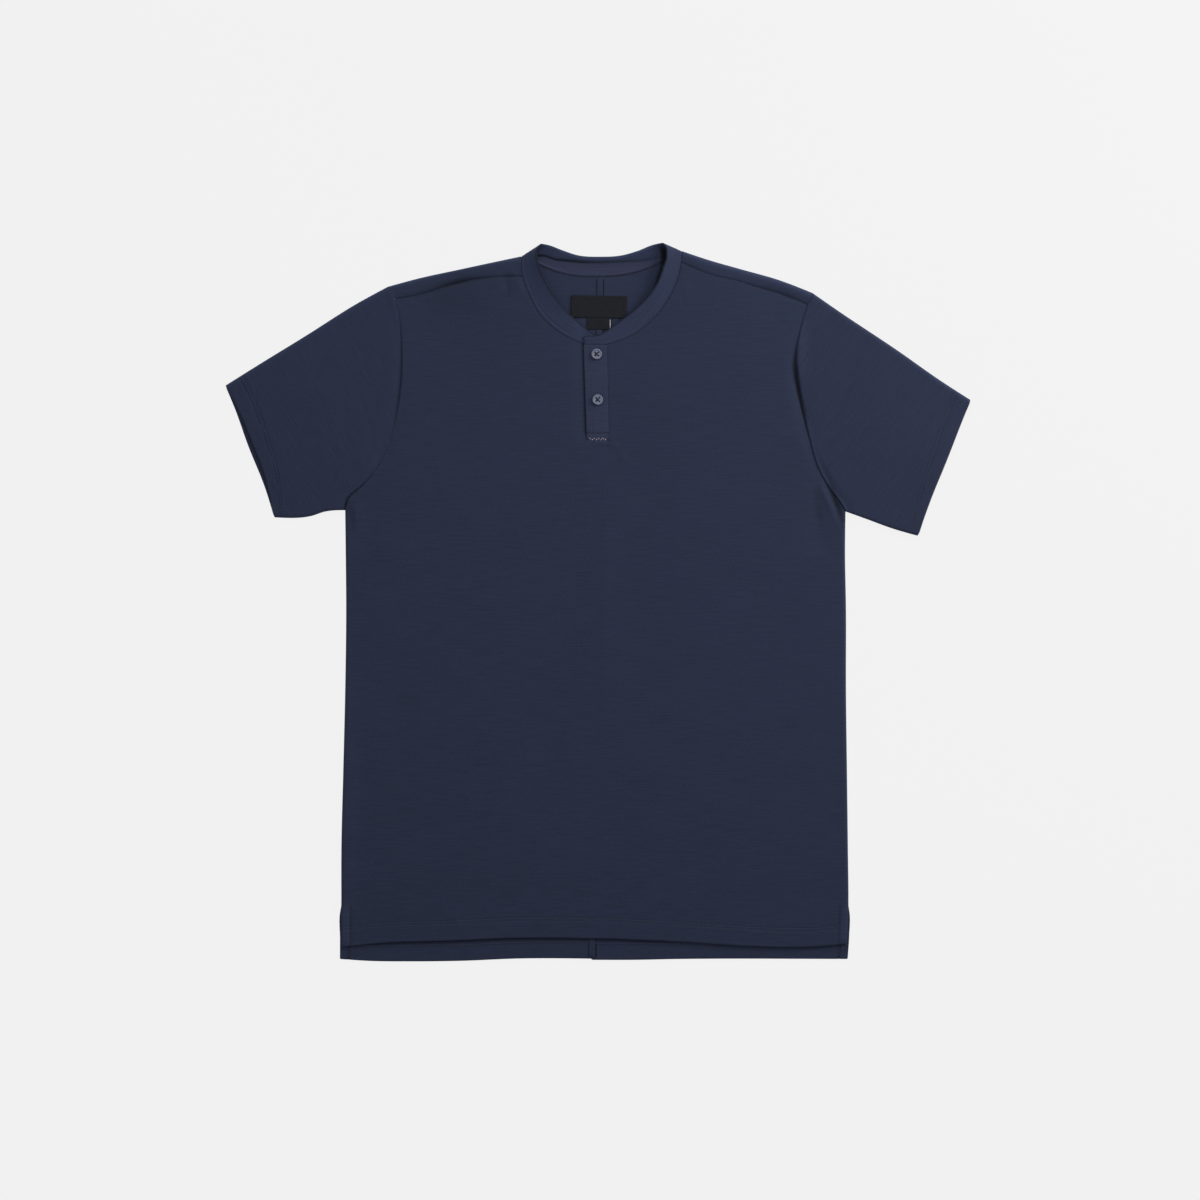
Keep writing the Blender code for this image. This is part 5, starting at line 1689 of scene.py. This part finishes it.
def floor_material():
    """Pale seamless ground, a little lit from within so that it stays even."""
    colours = bpy.context.scene.shirt_colours
    wiring = Wiring("pale_ground")
    place = wiring.node("ShaderNodeTexCoord").outputs["Object"]
    tooth = wiring.noise(place, (900.0, 900.0, 900.0), detail=2.0)
    wiring.finish(wiring.mix(wiring.spread(tooth, 0.3, 0.7), rgba(colours.floor, 0.99),
                             rgba(colours.floor, 1.01)),
                  tooth, strength=0.02, distance=0.0001, Roughness=0.9,
                  Specular_IOR_Level=0.05, Emission_Color=(1.0, 1.0, 1.0, 1.0),
                  Emission_Strength=GROUND_GLOW)
    return wiring.material


# ---- buttons and labels ----------------------------------------------------------------------


def deselect():
    if bpy.context.object and bpy.context.object.mode != "OBJECT":
        bpy.ops.object.mode_set(mode="OBJECT")
    bpy.ops.object.select_all(action="DESELECT")


def pick(made, kind, test):
    """Select the faces or edges of a mesh that pass a test, in edit mode."""
    bpy.ops.object.mode_set(mode="EDIT")
    bpy.ops.mesh.select_mode(type=kind)
    bpy.ops.mesh.select_all(action="DESELECT")
    bpy.ops.object.mode_set(mode="OBJECT")
    mesh = made.data
    for item in (mesh.polygons if kind == "FACE" else mesh.edges):
        item.select = bool(test(item))
    bpy.ops.object.mode_set(mode="EDIT")


def make_button(name, x, y, level, sizes, material):
    """A turned button: a cylinder with an inset, sunken middle, soft rims and four holes."""
    radius, height = 0.5 * sizes.button_diameter, sizes.button_height
    base = level * MM
    deselect()
    bpy.ops.mesh.primitive_cylinder_add(
        vertices=56, radius=radius, depth=height, location=(x * MM, y * MM, base + height / 2))
    made = bpy.context.object
    made.name = f"{name}_turned"
    bpy.ops.object.transform_apply(location=True, rotation=True, scale=True)
    top = base + height

    def at_top(face):
        return face.normal.z > 0.9 and face.center.z > top - 0.1 * MM and len(face.vertices) > 8

    pick(made, "FACE", at_top)
    bpy.ops.mesh.inset(thickness=0.23 * radius, depth=0.0)
    bpy.ops.mesh.inset(thickness=0.07 * radius, depth=-0.60 * MM)
    bpy.ops.mesh.inset(thickness=0.08 * radius, depth=-0.05 * MM)
    bpy.ops.object.mode_set(mode="OBJECT")
    mesh = made.data

    def ends_of(edge):
        """How far an edge's two ends are from the middle, and whether it lies level."""
        ends = [mesh.vertices[corner].co for corner in edge.vertices]
        away = [math.hypot(end.x - x * MM, end.y - y * MM) for end in ends]
        return away, abs(ends[0].z - ends[1].z) < SAME

    def on_rim(edge):
        away, level = ends_of(edge)
        return level and min(away) > 0.98 * radius

    pick(made, "EDGE", on_rim)
    bpy.ops.mesh.bevel(offset=0.55 * MM, segments=4, affect="EDGES")
    bpy.ops.object.mode_set(mode="OBJECT")

    def on_dish(edge):
        away, level = ends_of(edge)
        return (level and abs(away[0] - away[1]) < SAME
                and 0.66 * radius < min(away) < 0.8 * radius)

    pick(made, "EDGE", on_dish)
    bpy.ops.mesh.bevel(offset=0.18 * MM, segments=3, affect="EDGES")
    bpy.ops.object.mode_set(mode="OBJECT")

    for across, ahead in ((1, 1), (-1, 1), (-1, -1), (1, -1)):
        deselect()
        bpy.ops.mesh.primitive_cylinder_add(
            vertices=20, radius=HOLE_RADIUS * MM, depth=4 * height,
            location=((x + across * HOLE_REACH) * MM, (y + ahead * HOLE_REACH) * MM, base))
        drill = bpy.context.object
        deselect()
        made.select_set(True)
        bpy.context.view_layer.objects.active = made
        hole = made.modifiers.new("hole", "BOOLEAN")
        hole.operation, hole.object, hole.solver = "DIFFERENCE", drill, "EXACT"
        bpy.ops.object.modifier_apply(modifier=hole.name)
        bpy.data.objects.remove(drill, do_unlink=True)
    bpy.ops.object.shade_smooth_by_angle(angle=math.radians(40))
    made.data.materials.clear()
    made.data.materials.append(material)
    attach(made, BODY)
    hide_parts(name)
    return made


def label_cloth(name, lift, corner_lift):
    """A woven label on the inside of the back, its corners lifting a little."""
    x, y, width, height, turn = LABELS[name]
    u = np.linspace(-0.5, 0.5, 40)[None, :]
    v = np.linspace(-0.5, 0.5, 20)[:, None]
    angle = math.radians(turn)
    plan_x = x + width * u * math.cos(angle) - height * v * math.sin(angle)
    plan_y = y + width * u * math.sin(angle) + height * v * math.cos(angle)
    z = LABEL_LEVEL + lift + corner_lift * (4 * np.abs(u * v)) ** 2 + 0 * plan_x
    z = z + 0.06 * wobble(plan_x / 7.0, plan_y / 5.0)
    cloth = Cloth()
    cloth.add(np.dstack([plan_x, plan_y, z]), 0.7, 0.6)
    return cloth


# ---- one operator for each piece or group ----------------------------------------------------


class SHIRT_OT_back(Operator):
    """Make the two halves of the back, with their hems, vents and centre seam"""

    bl_idname = "shirt.make_back"
    bl_label = "Back"
    bl_options = {"REGISTER", "UNDO"}

    def execute(self, context):
        sizes, colours = context.scene.shirt_sizes, context.scene.shirt_colours
        thread = thread_material("sewing_thread", colours.thread)
        for side in (RIGHT, LEFT):
            node = f"back_{SIDES[side]}"
            sew(f"{node}_cloth", back_cloth(side, sizes), node)
            stitch_line(back_paths(side, True, sizes), sizes, thread, f"{node}_inner_stitches")
            stitch_line(back_paths(side, False, sizes), sizes, thread, f"{node}_hem_stitches",
                        wide=0.8)
        seam_tape(sizes, jersey_material())
        neck_seam(jersey_material())
        return {"FINISHED"}


class SHIRT_OT_front(Operator):
    """Make the front, from its hem to the neck and the shoulder seams"""

    bl_idname = "shirt.make_front"
    bl_label = "Front"
    bl_options = {"REGISTER", "UNDO"}

    def execute(self, context):
        sizes, colours = context.scene.shirt_sizes, context.scene.shirt_colours
        sew("front_cloth", front_cloth(sizes), "front")
        hem, vents = front_paths(sizes)
        stitch_line(hem, sizes, thread_material("sewing_thread", colours.thread),
                    "front_hem_stitches")
        stitch_line(vents, sizes, thread_material("groove_shade_thread", colours.groove_shade_thread),
                    "front_vent_stitches")
        return {"FINISHED"}


class SHIRT_OT_sleeves(Operator):
    """Make both sleeves, each a flat tube with a double-stitched cuff"""

    bl_idname = "shirt.make_sleeves"
    bl_label = "Sleeves"
    bl_options = {"REGISTER", "UNDO"}

    def execute(self, context):
        sizes, colours = context.scene.shirt_sizes, context.scene.shirt_colours
        thread = thread_material("groove_shade_thread", colours.groove_shade_thread)
        for side in (RIGHT, LEFT):
            node = f"sleeve_{SIDES[side]}"
            sew(f"{node}_cloth", sleeve_cloth(side, sizes), node)
            stitch_line(sleeve_paths(side, sizes), sizes, thread, f"{node}_stitches")
        return {"FINISHED"}


class SHIRT_OT_collar(Operator):
    """Make the standing band of the collar, with its topstitching"""

    bl_idname = "shirt.make_collar"
    bl_label = "Collar"
    bl_options = {"REGISTER", "UNDO"}

    def execute(self, context):
        sizes, colours = context.scene.shirt_sizes, context.scene.shirt_colours
        sew("collar_cloth", collar_cloth(sizes), "collar_band")
        stitch_line(collar_paths(sizes), sizes, thread_material("sewing_thread", colours.thread),
                    "collar_stitches")
        return {"FINISHED"}


class SHIRT_OT_placket(Operator):
    """Make the placket's two bands, their stitching, buttonholes and tack row"""

    bl_idname = "shirt.make_placket"
    bl_label = "Placket"
    bl_options = {"REGISTER", "UNDO"}

    def execute(self, context):
        sizes, colours = context.scene.shirt_sizes, context.scene.shirt_colours
        thread = thread_material("sewing_thread", colours.thread)
        sew("placket_under_cloth", placket_cloth(False, sizes), "placket_under")
        sew("placket_upper_cloth", placket_cloth(True, sizes), "placket_upper")
        edge, foot = placket_paths()
        stitch_line(edge, sizes, thread, "placket_stitches")
        stitch_line(foot, sizes, thread_material("groove_shade_thread", colours.groove_shade_thread),
                    "placket_foot_stitches", wide=1.2)
        stitch_line(tack_paths(), sizes, thread_material("tack_thread", colours.tack),
                    "placket_tack", wide=1.9, length=2.2, gap=0.05)
        holes = []
        for x, y in BUTTONS.values():
            level = placket_surface(True, np.array([y]), np.array([[0.5]]))[0, 0, 2] - 0.1
            for number in range(18):
                turn = math.pi * number / 17
                for sign in (-1.0, 1.0):
                    near = np.array([sign * 0.45, 7.0 * math.cos(turn), 0.0])
                    far = np.array([sign * 1.5, 7.3 * math.cos(turn), 0.0])
                    place = np.array([x, y - 0.6, level])
                    line = np.linspace(place + near, place + far, 4)
                    holes.append((line, up(line)))
        stitch_line(holes, sizes, thread, "buttonholes", length=1.0, gap=0.04)
        return {"FINISHED"}


class SHIRT_OT_buttons(Operator):
    """Make the two four-hole buttons and the crossed thread that holds each"""

    bl_idname = "shirt.make_buttons"
    bl_label = "Buttons"
    bl_options = {"REGISTER", "UNDO"}

    def execute(self, context):
        sizes, colours = context.scene.shirt_sizes, context.scene.shirt_colours
        resin = button_material()
        crosses = []
        for name, (x, y) in BUTTONS.items():
            band = placket_surface(True, np.array([y]), np.array([[0.5]]))[0, 0, 2]
            level = band + 0.3
            make_button(name, x, y, level, sizes, resin)
            height = level + sizes.button_height / MM - 0.5
            for across in ((1.0, 1.0), (1.0, -1.0)):
                across = unit(np.array([*across, 0.0]))
                aside = np.array([-across[1], across[0], 0.0])
                for shift in (-0.48, 0.0, 0.48):
                    middle = np.array([x, y, height + 0.1 * (across[1] > 0)]) + shift * aside
                    line = np.linspace(middle - 2.85 * across, middle + 2.85 * across, 5)
                    crosses.append((line, up(line)))
        stitch_line(crosses, sizes, thread_material("button_thread", colours.button_thread),
                    "button_crosses", wide=2.0, length=5.4, gap=0.1)
        return {"FINISHED"}


class SHIRT_OT_labels(Operator):
    """Make the bare woven neck label and the tab under it"""

    bl_idname = "shirt.make_labels"
    bl_label = "Labels"
    bl_options = {"REGISTER", "UNDO"}

    def execute(self, context):
        sizes, colours = context.scene.shirt_sizes, context.scene.shirt_colours
        weave = label_material()
        sew("neck_label_weave", label_cloth("neck_label", 0.05, 0.5), "neck_label",
            material=weave)
        sew("size_label_weave", label_cloth("size_label", -0.25, 0.2), "size_label",
            material=weave)
        line = np.column_stack([np.full(8, 12.6), np.linspace(283.4, 295.2, 8), np.full(8, 2.35)])
        stitch_line([(line, up(line))], sizes, thread_material("label_bar", colours.label_bar),
                    "size_label_bar", wide=2.0, length=11.4, gap=0.2)
        x, y, width, height, turn = LABELS["neck_label"]
        ends = []
        for reach in (-0.5, 0.5):
            end = x + reach * (width - 2.4)
            tilt = math.radians(turn) * reach * width
            line = np.column_stack([np.full(12, end),
                                    np.linspace(y - height / 2 + 1, y + height / 2 - 1, 12) + tilt,
                                    np.full(12, 2.62)])
            ends.append((line, up(line)))
        stitch_line(ends, sizes, thread_material("label_thread", colours.label_thread),
                    "neck_label_stitches")
        return {"FINISHED"}


class SHIRT_OT_stage(Operator):
    """Lay out the pale ground, the studio light and the camera over the shirt"""

    bl_idname = "shirt.make_stage"
    bl_label = "Stage"
    bl_options = {"REGISTER", "UNDO"}

    def execute(self, context):
        deselect()
        bpy.ops.mesh.primitive_grid_add(x_subdivisions=2, y_subdivisions=2,
                                        size=GROUND_SIZE, location=(0.0, 0.0, GROUND_LEVEL))
        ground = bpy.context.object
        ground.name = "ground"
        ground.data.materials.append(floor_material())
        scene = bpy.context.scene
        world = bpy.data.worlds.new("studio")
        world.use_nodes = True
        backdrop = world.node_tree.nodes["Background"]
        backdrop.inputs["Color"].default_value = SKY_COLOUR
        backdrop.inputs["Strength"].default_value = SKY_STRENGTH
        scene.world = world
        for name, place, energy, size in LAMPS:
            light = bpy.data.lights.new(name, "AREA")
            light.energy, light.size = energy, size
            lamp = bpy.data.objects.new(name, light)
            lamp.location = place
            lamp.rotation_euler = (-Vector(place)).to_track_quat("-Z", "Y").to_euler()
            scene.collection.objects.link(lamp)
        camera = bpy.data.objects.new("camera", bpy.data.cameras.new("camera"))
        camera.data.sensor_width = SENSOR_WIDTH
        camera.data.lens = SENSOR_WIDTH * CAMERA_HEIGHT / FRAME_WIDTH
        camera.location = (*FRAME_CENTRE, CAMERA_HEIGHT)
        camera.data.clip_end = 100.0
        scene.collection.objects.link(camera)
        scene.camera = camera
        scene.view_settings.view_transform = "Standard"
        return {"FINISHED"}


class SHIRT_PT_panel(Panel):
    """The sidebar's list of the shirt's pieces"""

    bl_label = "Shirt"
    bl_idname = "SHIRT_PT_panel"
    bl_space_type = "VIEW_3D"
    bl_region_type = "UI"
    bl_category = "Shirt"

    def draw(self, context):
        column = self.layout.column(align=True)
        for operator in OPERATORS:
            column.operator(operator.bl_idname)
        for group in (context.scene.shirt_sizes, context.scene.shirt_colours):
            box = self.layout.box()
            for name in group.__annotations__:
                box.prop(group, name)


OPERATORS = (SHIRT_OT_back, SHIRT_OT_front, SHIRT_OT_sleeves, SHIRT_OT_collar, SHIRT_OT_placket,
             SHIRT_OT_buttons, SHIRT_OT_labels, SHIRT_OT_stage)
CLASSES = (ShirtSizes, ShirtColours, *OPERATORS, SHIRT_PT_panel)


def register():
    for kind in CLASSES:
        bpy.utils.register_class(kind)
    bpy.types.Scene.shirt_sizes = PointerProperty(type=ShirtSizes)
    bpy.types.Scene.shirt_colours = PointerProperty(type=ShirtColours)


def unregister():
    del bpy.types.Scene.shirt_colours
    del bpy.types.Scene.shirt_sizes
    for kind in reversed(CLASSES):
        bpy.utils.unregister_class(kind)


def main():
    """Make every piece in order."""
    register()
    bpy.ops.shirt.make_back()
    bpy.ops.shirt.make_front()
    bpy.ops.shirt.make_sleeves()
    bpy.ops.shirt.make_collar()
    bpy.ops.shirt.make_placket()
    bpy.ops.shirt.make_buttons()
    bpy.ops.shirt.make_labels()
    bpy.ops.shirt.make_stage()


if __name__ == "__main__":
    main()
